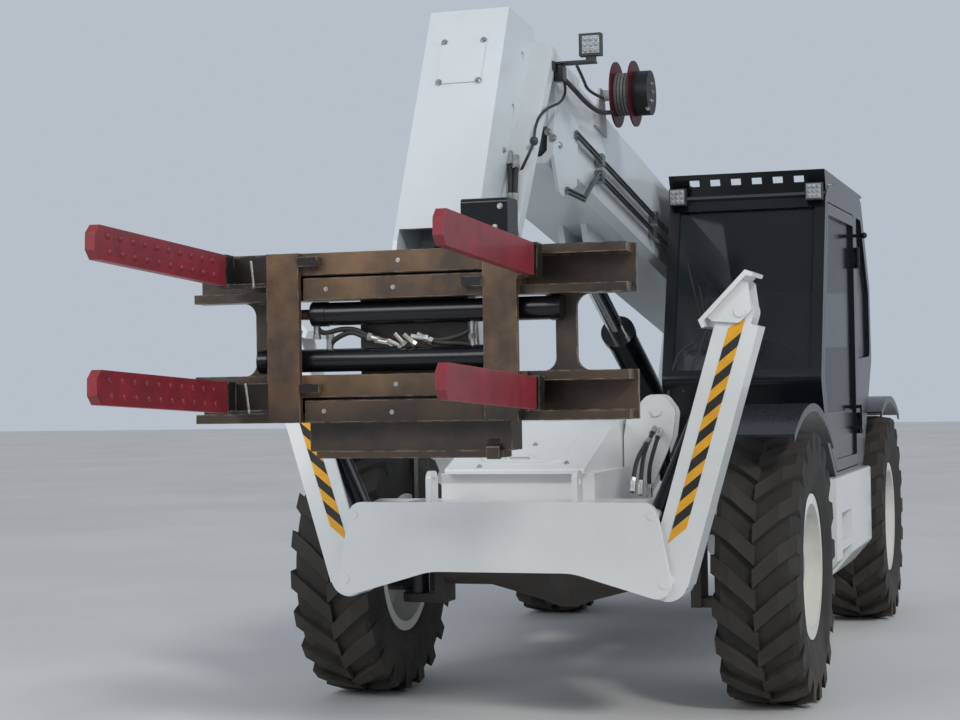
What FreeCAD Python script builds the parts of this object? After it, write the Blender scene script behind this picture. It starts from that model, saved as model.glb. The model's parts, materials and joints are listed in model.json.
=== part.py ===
import FreeCAD, Part
import os
from math import atan, cos, degrees, radians, sin, tan

# Telehandler with a four-arm sliding clamp, in millimetres.
# +X is forward, +Y is the machine's left and +Z is up. Everything is modelled with the
# origin on the ground half way between the axles, and is moved to the centre of the
# footprint when it is written out.

V = FreeCAD.Vector
ORIGIN = V(0, 0, 0)
AX_X = V(1, 0, 0)
AX_Y = V(0, 1, 0)
AX_Z = V(0, 0, 1)

# Clearances
RUN_FIT = 0.05
SEAT = 0.3
PIN_SIDE = 4.0
JOINT_GAP = 6.0

# Wheels
WHEELBASE = 3400.0
TRACK = 2000.0
TYRE_R = 635.0
TYRE_HALF_W = 195.0
SIDEWALL_R = 480.0
SHOULDER_DROP = 16.0
LUG_H = 32.0
LUGS_PER_SIDE = 20
LUG_W = 92.0
LUG_SWEEP_DEG = 15.0
RIM_R = 306.0
RIM_FLANGE_R = 338.0
RIM_FLANGE_OUT = 167.0
RIM_FLANGE_T = 12.0
RIM_WALL = 14.0
RIM_DISC_OUT = 52.0
RIM_DISC_T = 18.0
RIM_DISH_R = 250.0
RIM_HOLES = 8
RIM_HOLE_R = 26.0
RIM_HOLE_PITCH_R = 222.0
WHEEL_NUTS = 10
WHEEL_NUT_R = 13.0
WHEEL_NUT_PITCH_R = 168.0
HUB_R = 140.0
HUB_LIP = 14.0
HUB_CAP_R = 105.0
HUB_CAP_OUT = 118.0

# Axles and steering
KINGPIN_IN = 220.0
KINGPIN_Y = TRACK / 2 - KINGPIN_IN
KINGPIN_R = 30.0
KNUCKLE_R = 62.0
FORK_REACH = 150.0
FORK_ARM_T = 42.0
FORK_GAP = 150.0
FORK_R = 70.0
YOKE_HALF_X = 85.0
STEER_ARM_L = 200.0
AXLE_TUBE_R = 105.0
DIFF_R = 205.0
DIFF_NECK_L = 260.0
SADDLE_HALF_X = 150.0
FENDER_TOP = 757.0
FENDER_FRONT = (575.0, 630.0)
FENDER_REAR = (-700.0, 560.0)
FENDER_T = 10.0
FENDER_LIP = 38.0
FENDER_IN = 110.0
FENDER_OUT = 185.0
REAR_FENDER_REACH = (560.0, 480.0)
STAY_HALF = 28.0
STAY_T = 14.0

# Frame under the machine
RAIL_IN_Y = 262.0
RAIL_T = 90.0
RAIL_OUT_Y = RAIL_IN_Y + RAIL_T
RAIL_LOW_Z = 800.0
RAIL_TOP_Z = 1110.0
REAR_OVERHANG = 740.0
FRONT_OVERHANG = 850.0
RAIL_REAR_X = -WHEELBASE / 2 - REAR_OVERHANG
RAIL_FRONT_X = WHEELBASE / 2 + FRONT_OVERHANG
PLATE_T = 20.0
CROSS_H = 90.0
CROSS_L = 70.0

# Tail and tow jaw
TAIL_GAP = 40.0
TAIL_L = 280.0
TAIL_FRONT_X = RAIL_REAR_X - TAIL_GAP
TAIL_REAR_X = TAIL_FRONT_X - TAIL_L
TAIL_HALF_W = TRACK / 2 + 10.0
TAIL_LOW_Z = 620.0
TAIL_TOP_Z = 1330.0
TAIL_LAMP_W = 180.0
TAIL_LAMP_H = 90.0
TAIL_LAMP_D = 25.0
TAIL_LAMP_IN = 130.0
TOW_OUT = 70.0
TOW_X = TAIL_REAR_X - TOW_OUT
TOW_Z = 760.0
TOW_R = 16.5
TOW_HALF_H = 60.0
TOW_HALF_W = 70.0
TOW_END = 55.0

# Pods at the two sides
POD_GAP = 820.0
COVER_OUT_Y = TRACK / 2 + 120.0
COVER_LOW_Z = 520.0
COVER_TOP_Z = 1440.0
COVER_WALL = 40.0
LOUVRES = 9
LOUVRE_L = 620.0
LOUVRE_H = 24.0
LOUVRE_STEP = 58.0
ENGINE_L = 820.0
ENGINE_W = 500.0
ENGINE_H = 570.0
ENGINE_LOW_Z = 640.0
BOX_OUT_Y = TRACK / 2 + 150.0
BOX_LOW_Z = 430.0
BOX_REAR_GAP = 830.0
BOX_FRONT_GAP = 1020.0
STEPS = 2
STEP_L = 400.0
STEP_DEPTH = 180.0
STEP_H = 150.0
STEP_PITCH = 195.0
STEP_LOW_Z = 455.0
STEP_FRONT_IN = 220.0

# Front plate and beam
FRONT_PLATE_X = RAIL_FRONT_X + 280.0
FRONT_PLATE_T = 30.0
FRONT_PLATE_TOP_Z = 1000.0
FRONT_PLATE_HALF = [
    # y, z, corner radius
    (680, FRONT_PLATE_TOP_Z, 60), (760, 572, 60), (320, 700, 300)]
BEAM_CORE_HALF = 430.0
BEAM_CORE_LOW_Z = 720.0
BEAM_REAR_X = RAIL_FRONT_X + SEAT
HOOD_HALF_W = 320.0
HOOD_FRONT_X = RAIL_FRONT_X + 50.0
HOOD_FRONT_Z = 1130.0
HOOD_TOP_Z = 1330.0
HOOD_SLOPE_L = 600.0
HOOD_FLAT_L = 500.0
EAR_Y = 328.0
EAR_HALF_T = 12.0
EAR_H = 132.0
EAR_L = 96.0

# Levelling bracket beside the hood
TOWER_BACK = 75.0
TOWER_PITCH = 90.0
SWAY_PIN_R = 22.0
SWAY_R = 30.0

# Stabilisers
STAB_X = (BEAM_REAR_X + PLATE_T + FRONT_PLATE_X - FRONT_PLATE_T) / 2
STAB_HALF_X = 84.0
STAB_PIVOT_Y = 716.0
STAB_PIVOT_Z = 666.0
STAB_PIN_R = 30.0
STAB_CYL_Y = 665.0
STAB_CYL_Z = 945.0
STAB_CYL_PIN_R = 22.0
STAB_LEAN_DEG = 73.7
LEG_L = 1171.0
LEG_HALF_W = 90.0
LEG_WALL = 14.0
LEG_PIVOT_R = 85.0
LEG_ROOT_L = 110.0
LEG_TIP_HALF_W = 55.0
LEG_TIP_L = 60.0
LEG_ROD_BACK = 221.0
LEG_ROD_D = LEG_L - LEG_ROD_BACK
LEG_ROD_N = -30.0
FOOT_PIN_R = 24.0
FOOT_DROP = 80.0
FOOT_LEN = 285.0
FOOT_T = 18.0
FOOT_CHEEK_T = 12.0
FOOT_CHEEK_HALF = 110.0
FOOT_SIDE = 40.0
FOOT_TURN_DEG = 62.0
STAB_BARREL_L = 610.0
STAB_BARREL_R = 40.0
STAB_ROD_R = 22.0

# Tilt pivot of the clamp head
TILT_X = FRONT_PLATE_X + 890.0
TILT_Z = 1450.0
TILT_PIN_R = 35.0

# Boom
BOOM_PIVOT_X = -WHEELBASE / 2 - 250.0
BOOM_PIVOT_Z = 1960.0
BOOM_DEG = 9.2
TILT_AHEAD = TILT_X - BOOM_PIVOT_X
TILT_RISE = TILT_Z - BOOM_PIVOT_Z
TILT_U = TILT_AHEAD * cos(radians(BOOM_DEG)) + TILT_RISE * sin(radians(BOOM_DEG))
BOOM_HALF_W = 220.0
BOOM_HALF_H = 241.0
BOOM_WALL = 14.0
BOOM_CHAMFER = 36.0
BOOM_NOSE_BACK = 835.5
BOOM_NOSE_U = TILT_U - BOOM_NOSE_BACK
BOOM_TAIL = 260.0
BOOM_PIN_R = 50.0
BOOM_HUB_R = 130.0
BOOM_BORE_START = 300.0
COLLAR_L = 400.0
COLLAR_T = 15.0
CHEEK_DROP = 104.0
PAD_L = 190.0
PAD_HALF_W = 90.0
FLY_HALF_W = 165.0
FLY_HALF_H = 188.0
FLY_WALL = 12.0
FLY_CHAMFER = 26.0
FLY_FRONT_BACK = 215.5
FLY_OVERLAP = 3230.0
FLY_FRONT_U = TILT_U - FLY_FRONT_BACK
FLY_TAIL_U = BOOM_NOSE_U - FLY_OVERLAP

# Mast that carries the boom
MAST_T = 45.0
MAST_REAR = 330.0
MAST_FRONT = 620.0
MAST_TOP = 120.0
MAST_TOP_HALF = 60.0
MAST_SHOULDER = 130.0
MAST_FOOT_H = 60.0

# Lift cylinder
LIFT_BASE_AHEAD = 800.0
LIFT_BASE_X = BOOM_PIVOT_X + LIFT_BASE_AHEAD
LIFT_BASE_Z = 970.0
LIFT_EYE_U = 3250.0
LIFT_EYE_W = -395.0
LIFT_BARREL_R = 82.0
LIFT_ROD_R = 45.0
LIFT_BARREL_L = 1960.0
LIFT_PIN_R = 35.0
LIFT_EAR_T = 30.0
LIFT_EAR_IN = 45.0
LIFT_EAR_HALF_L = 260.0
LIFT_EAR_TIP_HALF = 90.0

# Head of the boom, with places measured from the tilt pivot
HEAD_HALF_W = 170.0
HEAD_WALL = 18.0
FLANGE_OUT = 262.0
TILT_BASE_X = TILT_X - 590.0
TILT_BASE_Z = TILT_Z + 1070.0
TILT_EYE_X = TILT_X + 15.0
TILT_EYE_Z = TILT_Z + 250.0
TILT_BARREL_R = 42.0
TILT_ROD_R = 25.0
TILT_BARREL_L = 660.0
TILT_BASE_PIN_R = 30.0
TILT_EYE_HALF = 40.0
COVER_T = 5.0
COVER_L = 210.0
COVER_HALF_W = 95.0
OVAL_R = 24.0
OVAL_DEPTH = 6.0
LAMP = 96.0
LAMP_T = 42.0

# Hose reel and the pipes along the boom
REEL_U = 3850.0
REEL_RISE = 296.0
REEL_IN_Y = 300.0
REEL_FLANGE_R = 155.0
REEL_FLANGE_T = 8.0
REEL_CORE_R = 92.0
REEL_W = 78.0
REEL_HOSE_R = 9.0
REEL_TURNS = 5
REEL_MOTOR_R = 105.0
REEL_MOTOR_W = 76.0
PIPE_R = 8.0
PIPE_Y = 247.0
PIPE_START_U = 700.0
PIPE_CLIP_BACK = 760.0
CLIP_HALF_L = 26.0

# Clamp rails and carriers
GUIDE_HALF_L = 855.0
GUIDE_BACK_X = TILT_X + 140.0
GUIDE_DEPTH = 115.0
GUIDE_FRONT_X = GUIDE_BACK_X + GUIDE_DEPTH
GUIDE_LIP = 35.0
GUIDE_T = 20.0
GUIDE_H = 180.0
GUIDE_LOW_Z = TILT_Z - 80.0
GUIDE_UP_Z = GUIDE_LOW_Z + 460.0
GUIDE_END_T = 12.0
POST_Y = 600.0
POST_HALF_W = 40.0
POST_T = 20.0
POST_FLARE = 50.0
CARRIER_X = GUIDE_FRONT_X + 30.0
CARRIER_T = 25.0
BAR_GAP = 5.0
BAR_H = 81.0
ARM_ROOT_X = CARRIER_X + 100.0
ARM_TIP_X = CARRIER_X + 1095.0
ARM_H = 116.0
ARM_T = 36.0
ARM_SPAR_HALF_H = 54.0
ARM_SPAR_T = 28.0
ARM_NOSE = 30.0
ARM_TILT_DEG = 2.6
ARM_ROWS_Z = (GUIDE_UP_Z + 114.0, GUIDE_LOW_Z + 96.0)
STUB_L = 80.0
STUB_H = 36.0
CLAMP_BARREL_X = GUIDE_BACK_X + 68.0
CLAMP_BARREL_R = 44.0
CLAMP_ROD_R = 20.0
CLAMP_HEAD_R = 47.0
CLAMP_BORE_L = 460.0
CARRIAGE_EAR_T = 40.0
CARRIAGE_BACK_T = 25.0
CARRIAGE_RISE = 530.0
CARRIAGE_IN = HEAD_HALF_W + JOINT_GAP
CARRIAGE_OUT = CARRIAGE_IN + CARRIAGE_EAR_T
FOOT_BAR_HALF = 400.0
FOOT_BAR_DROP = 110.0
VALVE_IN_Y = 184.0
VALVE_OUT_Y = 368.0

# Cab
CAB_FLOOR_Z = 990.0
CAB_IN_Y = 300.0
CAB_OUT_Y = TRACK / 2 + 120.0
CAB_WALL = 45.0
GLASS_T = 6.0
DOOR_GAP = 6.0
DOOR_RAIL = 60.0
DOOR_SILL_Z = 1330.0
HINGE_OUT = 15.0
HINGE_X = -557.0
HINGE_Y = CAB_OUT_Y + HINGE_OUT
HINGE_PIN_R = 7.0
HINGE_R = 13.0
HINGE_HALF_H = 60.0
HINGE_LEAF = 60.0
HINGE_ZS = (1250.0, 2200.0)
VISOR_T = 8.0
VISOR_SLOTS = 6
VISOR_SLOT_L = 52.0
SEAT_Z = 1400.0
SEAT_T = 100.0
STEERING_R = 190.0
STEERING_DEG = 28.0


# Outlines: each corner is (a, b), or (a, b, radius) when it is rounded
def corner_steps(points):
    """Each corner as one point, or as the start, middle and end of its arc."""
    flat = [V(p[0], p[1], 0) for p in points]
    steps = []
    for i, p in enumerate(points):
        here = flat[i]
        if len(p) < 3:
            steps.append([here])
            continue
        back = flat[i - 1].sub(here).normalize()
        ahead = flat[(i + 1) % len(flat)].sub(here).normalize()
        half = back.getAngle(ahead) / 2
        run = p[2] / tan(half)
        reach = p[2] / sin(half) - p[2]
        middle = back.add(ahead).normalize()
        steps.append([here.add(back * run), here.add(middle * reach), here.add(ahead * run)])
    return steps


def face_of(points, place):
    """Face inside an outline; place turns its (a, b) into a point in space."""
    steps = corner_steps(points)
    edges = []
    last = steps[-1][-1]
    for step in steps:
        if step[0].sub(last).Length > RUN_FIT:
            edges.append(Part.makeLine(place(last.x, last.y), place(step[0].x, step[0].y)))
        if len(step) == 3:
            edges.append(Part.Arc(*[place(q.x, q.y) for q in step]).toShape())
        last = step[-1]
    return Part.Face(Part.Wire(edges))


def prism_xz(points, y0, y1):
    return face_of(points, lambda a, b: V(a, y0, b)).extrude(V(0, y1 - y0, 0))


def prism_yz(points, x0, x1):
    return face_of(points, lambda a, b: V(x0, a, b)).extrude(V(x1 - x0, 0, 0))


def prism_xy(points, z0, z1):
    return face_of(points, lambda a, b: V(a, b, z0)).extrude(V(0, 0, z1 - z0))


def shifted(points, da, db):
    return [(p[0] + da, p[1] + db) + tuple(p[2:]) for p in points]


def mirrored(points):
    """The outline's other half, so that both halves run round one closed outline."""
    return [(-p[0], p[1]) + tuple(p[2:]) for p in reversed(points)]


def box(x0, x1, y0, y1, z0, z1):
    return Part.makeBox(x1 - x0, y1 - y0, z1 - z0, V(x0, y0, z0))


def span(a, b):
    return min(a, b), max(a, b)


def rod(p, q, radius):
    """Round bar between two points."""
    way = q.sub(p)
    return Part.makeCylinder(radius, way.Length, p, way)


def pin_x(x0, x1, y, z, radius):
    return Part.makeCylinder(radius, x1 - x0, V(x0, y, z), AX_X)


def pin_y(x, y0, y1, z, radius):
    return Part.makeCylinder(radius, y1 - y0, V(x, y0, z), AX_Y)


def pin_z(x, y, z0, z1, radius):
    return Part.makeCylinder(radius, z1 - z0, V(x, y, z0), AX_Z)


def fuse(*shapes):
    return shapes[0].fuse(list(shapes[1:])).removeSplitter()


def cut_all(shape, cuts):
    return shape.cut(Part.makeCompound(cuts))


def largest(shape):
    return max(shape.Solids, key=lambda s: s.Volume)


def mirror_y(shape):
    return shape.mirror(ORIGIN, AX_Y)


def mirror_x(shape):
    return shape.mirror(ORIGIN, AX_X)


def turned(shape, degrees_, centre, axis):
    result = shape.copy()
    result.rotate(centre, axis, degrees_)
    return result


def moved(shape, x, y, z):
    result = shape.copy()
    result.translate(V(x, y, z))
    return result


NODES = {}


def node(name, *shapes):
    NODES[name] = list(shapes)


# Wheels, each drawn about its own centre with +Y outwards
def lathe_y(profile):
    """Profile of (radius, y) corners turned about the Y axis."""
    return face_of(profile, lambda a, b: V(a, b, 0)).revolve(ORIGIN, AX_Y, 360)


def ring_places(count, radius, start=0.0):
    """Places (x, z) spaced evenly round a circle."""
    turns = [radians(360.0 * (i + start) / count) for i in range(count)]
    return [(radius * cos(a), radius * sin(a)) for a in turns]


def tyre():
    carcass_r = TYRE_R - LUG_H
    bead_y = RIM_FLANGE_OUT - RIM_FLANGE_T - SEAT
    half = [
        # radius, y
        (RIM_R + SEAT, bead_y),
        (RIM_FLANGE_R + SEAT, bead_y),
        (RIM_FLANGE_R + 12, RIM_FLANGE_OUT + 4),
        (SIDEWALL_R - 45, TYRE_HALF_W - 5),
        (SIDEWALL_R, TYRE_HALF_W),
        (SIDEWALL_R + 50, TYRE_HALF_W - 5),
        (carcass_r - 15, TYRE_HALF_W - 20),
        (carcass_r, TYRE_HALF_W - 42),
    ]
    profile = half + [(r, -y) for r, y in reversed(half)]
    lugs = []
    step = 360.0 / LUGS_PER_SIDE
    for side, shift in ((1, 0.0), (-1, 0.5)):
        for i in range(LUGS_PER_SIDE):
            lugs.append(lug(side, (i + shift) * step))
    return lathe_y(profile).fuse(lugs)


def lug(side, start):
    """One bar of the tread, swept back from the middle and down over the shoulder."""
    floor_r = TYRE_R - LUG_H - 20
    rows = [
        # y, share of the sweep, floor radius, top radius
        (-6, 0.0, floor_r, TYRE_R),
        (TYRE_HALF_W * 0.55, 0.62, floor_r, TYRE_R),
        (TYRE_HALF_W - 4, 1.0, floor_r - 80, TYRE_R - SHOULDER_DROP),
    ]
    half_deg = degrees(LUG_W / 2 / TYRE_R)
    wires = []
    for y, share, low_r, top_r in rows:
        mid = start + share * LUG_SWEEP_DEG
        corners = []
        for r, turn in ((low_r, -1.2), (low_r, 1.2), (top_r, 0.9), (top_r, -0.9)):
            a = radians(mid + turn * half_deg)
            corners.append(V(r * cos(a), side * y, r * sin(a)))
        wires.append(Part.makePolygon(corners + [corners[0]]))
    return Part.makeLoft(wires, True, True)


def rim():
    """Barrel with two flanges and a dished disc, its hand holes and the wheel nuts."""
    inner_r = RIM_R - RIM_WALL
    flange_in = RIM_FLANGE_OUT - RIM_FLANGE_T
    disc_in = RIM_DISC_OUT - RIM_DISC_T
    profile = [
        # radius, y
        (RIM_R, -flange_in),
        (RIM_R, flange_in),
        (RIM_FLANGE_R, flange_in),
        (RIM_FLANGE_R, RIM_FLANGE_OUT),
        (inner_r, RIM_FLANGE_OUT),
        (inner_r, disc_in + RIM_WALL),
        (RIM_DISH_R, RIM_DISC_OUT),
        (HUB_R + RUN_FIT, RIM_DISC_OUT),
        (HUB_R + RUN_FIT, disc_in),
        (RIM_DISH_R, disc_in),
        (inner_r, disc_in - 4 * RIM_WALL),
        (inner_r, -RIM_FLANGE_OUT),
        (RIM_FLANGE_R, -RIM_FLANGE_OUT),
        (RIM_FLANGE_R, -flange_in),
    ]
    holes = []
    for x, z in ring_places(RIM_HOLES, RIM_HOLE_PITCH_R):
        holes.append(pin_y(x, disc_in - 1, RIM_DISC_OUT + 1, z, RIM_HOLE_R))
    nuts = []
    for x, z in ring_places(WHEEL_NUTS, WHEEL_NUT_PITCH_R, 0.5):
        nut = Part.makePolygon([V(x + px, RIM_DISC_OUT - 1, z + pz)
                                for px, pz in ring_places(6, WHEEL_NUT_R) + [(WHEEL_NUT_R, 0)]])
        nuts.append(Part.Face(nut).extrude(V(0, WHEEL_NUT_R + 1, 0)))
    return cut_all(lathe_y(profile), holes).fuse(nuts)


def arch(drop, y0, y1):
    """Arched strip of a mudguard, drop thick, between two sides y0 and y1."""
    edges = []
    ends = []
    for d in (0.0, drop):
        row = [V(FENDER_REAR[0], y0, FENDER_REAR[1] - d), V(0, y0, FENDER_TOP - d),
               V(FENDER_FRONT[0], y0, FENDER_FRONT[1] - d)]
        edges.append(Part.Arc(*row).toShape())
        ends.append((row[0], row[2]))
    for k in (0, 1):
        edges.append(Part.makeLine(ends[0][k], ends[1][k]))
    return Part.Face(Part.Wire(Part.__sortEdges__(edges))).extrude(V(0, y1 - y0, 0))


def fender(reach_front, reach_back):
    """Mudguard with a lip down its outer edge, cut off at its reach each way."""
    guard = fuse(arch(FENDER_T, -FENDER_IN, FENDER_OUT),
                 arch(FENDER_LIP, FENDER_OUT - FENDER_T, FENDER_OUT))
    return guard.common(box(-reach_back, reach_front, -TYRE_R, TYRE_R, 0, 2 * TYRE_R))


def knuckle(reach_front, reach_back):
    """Swivel, hub drum and mudguard of a left wheel, about the wheel's centre."""
    king_y = -KINGPIN_IN
    arm_top = FORK_GAP + FORK_ARM_T
    drum_out = RIM_DISC_OUT + HUB_LIP
    swivel = pin_z(0, king_y, PIN_SIDE - FORK_GAP, FORK_GAP - PIN_SIDE, KNUCKLE_R)
    kingpin = pin_z(0, king_y, -arm_top, arm_top, KINGPIN_R)
    drum = pin_y(0, king_y, drum_out, 0, HUB_R)
    cap = Part.makeCone(HUB_CAP_R, HUB_CAP_R * 0.86, HUB_CAP_OUT - drum_out, V(0, drum_out, 0), AX_Y)
    steering_arm = prism_xy(
        [(-40, king_y - 35), (-STEER_ARM_L, king_y - 10, 15), (-STEER_ARM_L, king_y + 25, 15),
         (-40, king_y + 40)], -PLATE_T, PLATE_T)
    stay_y = -TYRE_HALF_W - STAY_T
    under = FENDER_TOP - FENDER_T
    foot = box(-STAY_HALF, STAY_HALF, king_y - KINGPIN_R, stay_y, arm_top, arm_top + 2 * STAY_T)
    stay = box(-STAY_HALF, STAY_HALF, stay_y - STAY_T, stay_y, arm_top, under)
    hanger = box(-STAY_HALF, STAY_HALF, stay_y - STAY_T, -FENDER_IN + STAY_T, under - STAY_T, under + 2)
    return fuse(swivel, kingpin, drum, cap, steering_arm, fender(reach_front, reach_back), stay, foot, hanger)


def axle(x):
    """Axle housing with its middle bulge and a fork at each end."""
    z = TYRE_R
    fork_in = KINGPIN_Y - FORK_REACH
    arm_top = FORK_GAP + FORK_ARM_T
    core = lathe_y([
        # radius, y
        (0, -fork_in), (AXLE_TUBE_R, -fork_in), (AXLE_TUBE_R, -DIFF_R - DIFF_NECK_L * 0.7),
        (DIFF_R * 0.86, -DIFF_R * 0.55), (DIFF_R, -DIFF_R * 0.2), (DIFF_R, DIFF_R * 0.2),
        (DIFF_R * 0.86, DIFF_R * 0.55), (AXLE_TUBE_R, DIFF_R + DIFF_NECK_L * 0.7), (AXLE_TUBE_R, fork_in),
        (0, fork_in)])
    core = moved(core, x, 0, z)
    yoke = box(x - YOKE_HALF_X, x + YOKE_HALF_X, fork_in - PLATE_T, fork_in + 30, z - arm_top, z + arm_top)
    parts = [yoke]
    for low in (z + FORK_GAP, z - arm_top):
        arm = fuse(box(x - FORK_R, x + FORK_R, fork_in, KINGPIN_Y, low, low + FORK_ARM_T),
                   pin_z(x, KINGPIN_Y, low, low + FORK_ARM_T, FORK_R))
        parts.append(arm.cut(pin_z(x, KINGPIN_Y, low - 1, low + FORK_ARM_T + 1, KINGPIN_R + RUN_FIT)))
    end = fuse(*parts)
    saddle = box(x - SADDLE_HALF_X, x + SADDLE_HALF_X, -RAIL_OUT_Y, RAIL_OUT_Y, z + 60, RAIL_LOW_Z)
    return fuse(saddle, core, end, mirror_y(end))


def make_running_gear():
    wheel_tyre = tyre()
    wheel_rim = rim()
    front_swivel = knuckle(FENDER_FRONT[0], -FENDER_REAR[0])
    rear_swivel = mirror_x(knuckle(*REAR_FENDER_REACH))
    corners = [
        # name, x sign, y sign, swivel
        ("front_left", 1, 1, front_swivel),
        ("front_right", 1, -1, front_swivel),
        ("rear_left", -1, 1, rear_swivel),
        ("rear_right", -1, -1, rear_swivel),
    ]
    for name, sx, sy, swivel in corners:
        place = (sx * WHEELBASE / 2, sy * TRACK / 2, TYRE_R)
        for kind, shape in (("tyre", wheel_tyre), ("rim", wheel_rim), ("knuckle", swivel)):
            if sy < 0:
                shape = mirror_y(shape)
            node(kind + "_" + name, moved(shape, *place))
    node("axle_front", axle(WHEELBASE / 2))
    node("axle_rear", axle(-WHEELBASE / 2))


# Frame, mast and tail
def make_frame():
    notch_z = CAB_FLOOR_Z - SEAT
    notch_front = WHEELBASE / 2 - 720.0
    notch_rear = -WHEELBASE / 2 + 770.0
    slope = (RAIL_TOP_Z - notch_z) / 2
    rail = prism_xz([
        (RAIL_REAR_X, RAIL_LOW_Z), (RAIL_FRONT_X, RAIL_LOW_Z), (RAIL_FRONT_X, RAIL_TOP_Z),
        (notch_front, RAIL_TOP_Z), (notch_front - slope, notch_z), (notch_rear + slope, notch_z),
        (notch_rear, RAIL_TOP_Z), (RAIL_REAR_X, RAIL_TOP_Z)], RAIL_IN_Y, RAIL_OUT_Y)
    mast_in = BOOM_HALF_W + JOINT_GAP
    mast = prism_xz(shifted([
        # x, z from the boom's pivot, corner radius
        (-MAST_REAR, RAIL_TOP_Z - BOOM_PIVOT_Z), (MAST_FRONT, RAIL_TOP_Z - BOOM_PIVOT_Z, 40),
        (MAST_SHOULDER, MAST_TOP / 2, 60), (MAST_TOP_HALF, MAST_TOP, 40), (-MAST_TOP_HALF, MAST_TOP, 40),
        (-MAST_SHOULDER, MAST_TOP / 2, 60)], BOOM_PIVOT_X, BOOM_PIVOT_Z), mast_in, mast_in + MAST_T)
    mast_foot = box(BOOM_PIVOT_X - MAST_REAR, BOOM_PIVOT_X + MAST_FRONT, mast_in, RAIL_OUT_Y,
                    RAIL_TOP_Z - MAST_FOOT_H, RAIL_TOP_Z)
    parts = []
    for shape in (rail, mast, mast_foot):
        parts += [shape, mirror_y(shape)]
    crosses = [
        # x start, top z
        (RAIL_REAR_X, RAIL_TOP_Z),
        (LIFT_BASE_X - 180, RAIL_LOW_Z + CROSS_H),
        (-CROSS_L / 2, RAIL_LOW_Z + CROSS_H),
        (notch_front - CROSS_L, notch_z - 10),
        (RAIL_FRONT_X - CROSS_L, RAIL_TOP_Z),
    ]
    for x0, z1 in crosses:
        parts.append(box(x0, x0 + CROSS_L, -RAIL_IN_Y, RAIL_IN_Y, RAIL_LOW_Z, z1))
    boom_pin_half = mast_in + MAST_T + PLATE_T
    parts.append(pin_y(BOOM_PIVOT_X, -boom_pin_half, boom_pin_half, BOOM_PIVOT_Z, BOOM_PIN_R))
    parts.append(pin_y(LIFT_BASE_X, -RAIL_IN_Y, RAIL_IN_Y, LIFT_BASE_Z, LIFT_PIN_R))
    node("frame", fuse(*parts))


def make_tail():
    side = prism_xz([
        (TAIL_FRONT_X, TAIL_LOW_Z + 60), (TAIL_FRONT_X, TAIL_TOP_Z, 30), (TAIL_REAR_X + 60, TAIL_TOP_Z, 90),
        (TAIL_REAR_X, TAIL_TOP_Z - 200, 60), (TAIL_REAR_X, TAIL_LOW_Z + 110, 60),
        (TAIL_REAR_X + 80, TAIL_LOW_Z)], -TAIL_HALF_W, TAIL_HALF_W)
    plan = prism_xy([
        (TAIL_FRONT_X + 1, -TAIL_HALF_W), (TAIL_FRONT_X + 1, TAIL_HALF_W), (TAIL_REAR_X, TAIL_HALF_W, 120),
        (TAIL_REAR_X, -TAIL_HALF_W, 120)], 0, 2 * TAIL_TOP_Z)
    tie = box(TAIL_FRONT_X, RAIL_REAR_X, -RAIL_OUT_Y, RAIL_OUT_Y, RAIL_LOW_Z, RAIL_TOP_Z)
    jaw = box(TOW_X - TOW_END, TAIL_REAR_X + PLATE_T, -TOW_HALF_W, TOW_HALF_W, TOW_Z - TOW_HALF_H,
              TOW_Z + TOW_HALF_H)
    mouth = box(TOW_X - TOW_END - 1, TAIL_REAR_X - 12, -TOW_HALF_W - 1, TOW_HALF_W + 1,
                TOW_Z - TOW_HALF_H / 2, TOW_Z + TOW_HALF_H / 2)
    jaw = jaw.cut(mouth).cut(pin_z(TOW_X, 0, TOW_Z - TOW_HALF_H - 1, TOW_Z + TOW_HALF_H + 1, TOW_R))
    lamps = []
    pockets = []
    lamp_z = (TAIL_LOW_Z + TAIL_TOP_Z - TAIL_LAMP_H) / 2
    lamp_y = TAIL_HALF_W - TAIL_LAMP_IN - TAIL_LAMP_W
    back = TAIL_REAR_X + TAIL_LAMP_D
    for y in (lamp_y, -lamp_y - TAIL_LAMP_W):
        pockets.append(box(TAIL_REAR_X - 1, back, y, y + TAIL_LAMP_W, lamp_z, lamp_z + TAIL_LAMP_H))
        lamps.append(box(TAIL_REAR_X - 6, back - SEAT, y + SEAT, y + TAIL_LAMP_W - SEAT,
                         lamp_z + SEAT, lamp_z + TAIL_LAMP_H - SEAT))
    node("tail", cut_all(fuse(side.common(plan), tie, jaw), pockets))
    node("tail_lamps", *lamps)


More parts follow.
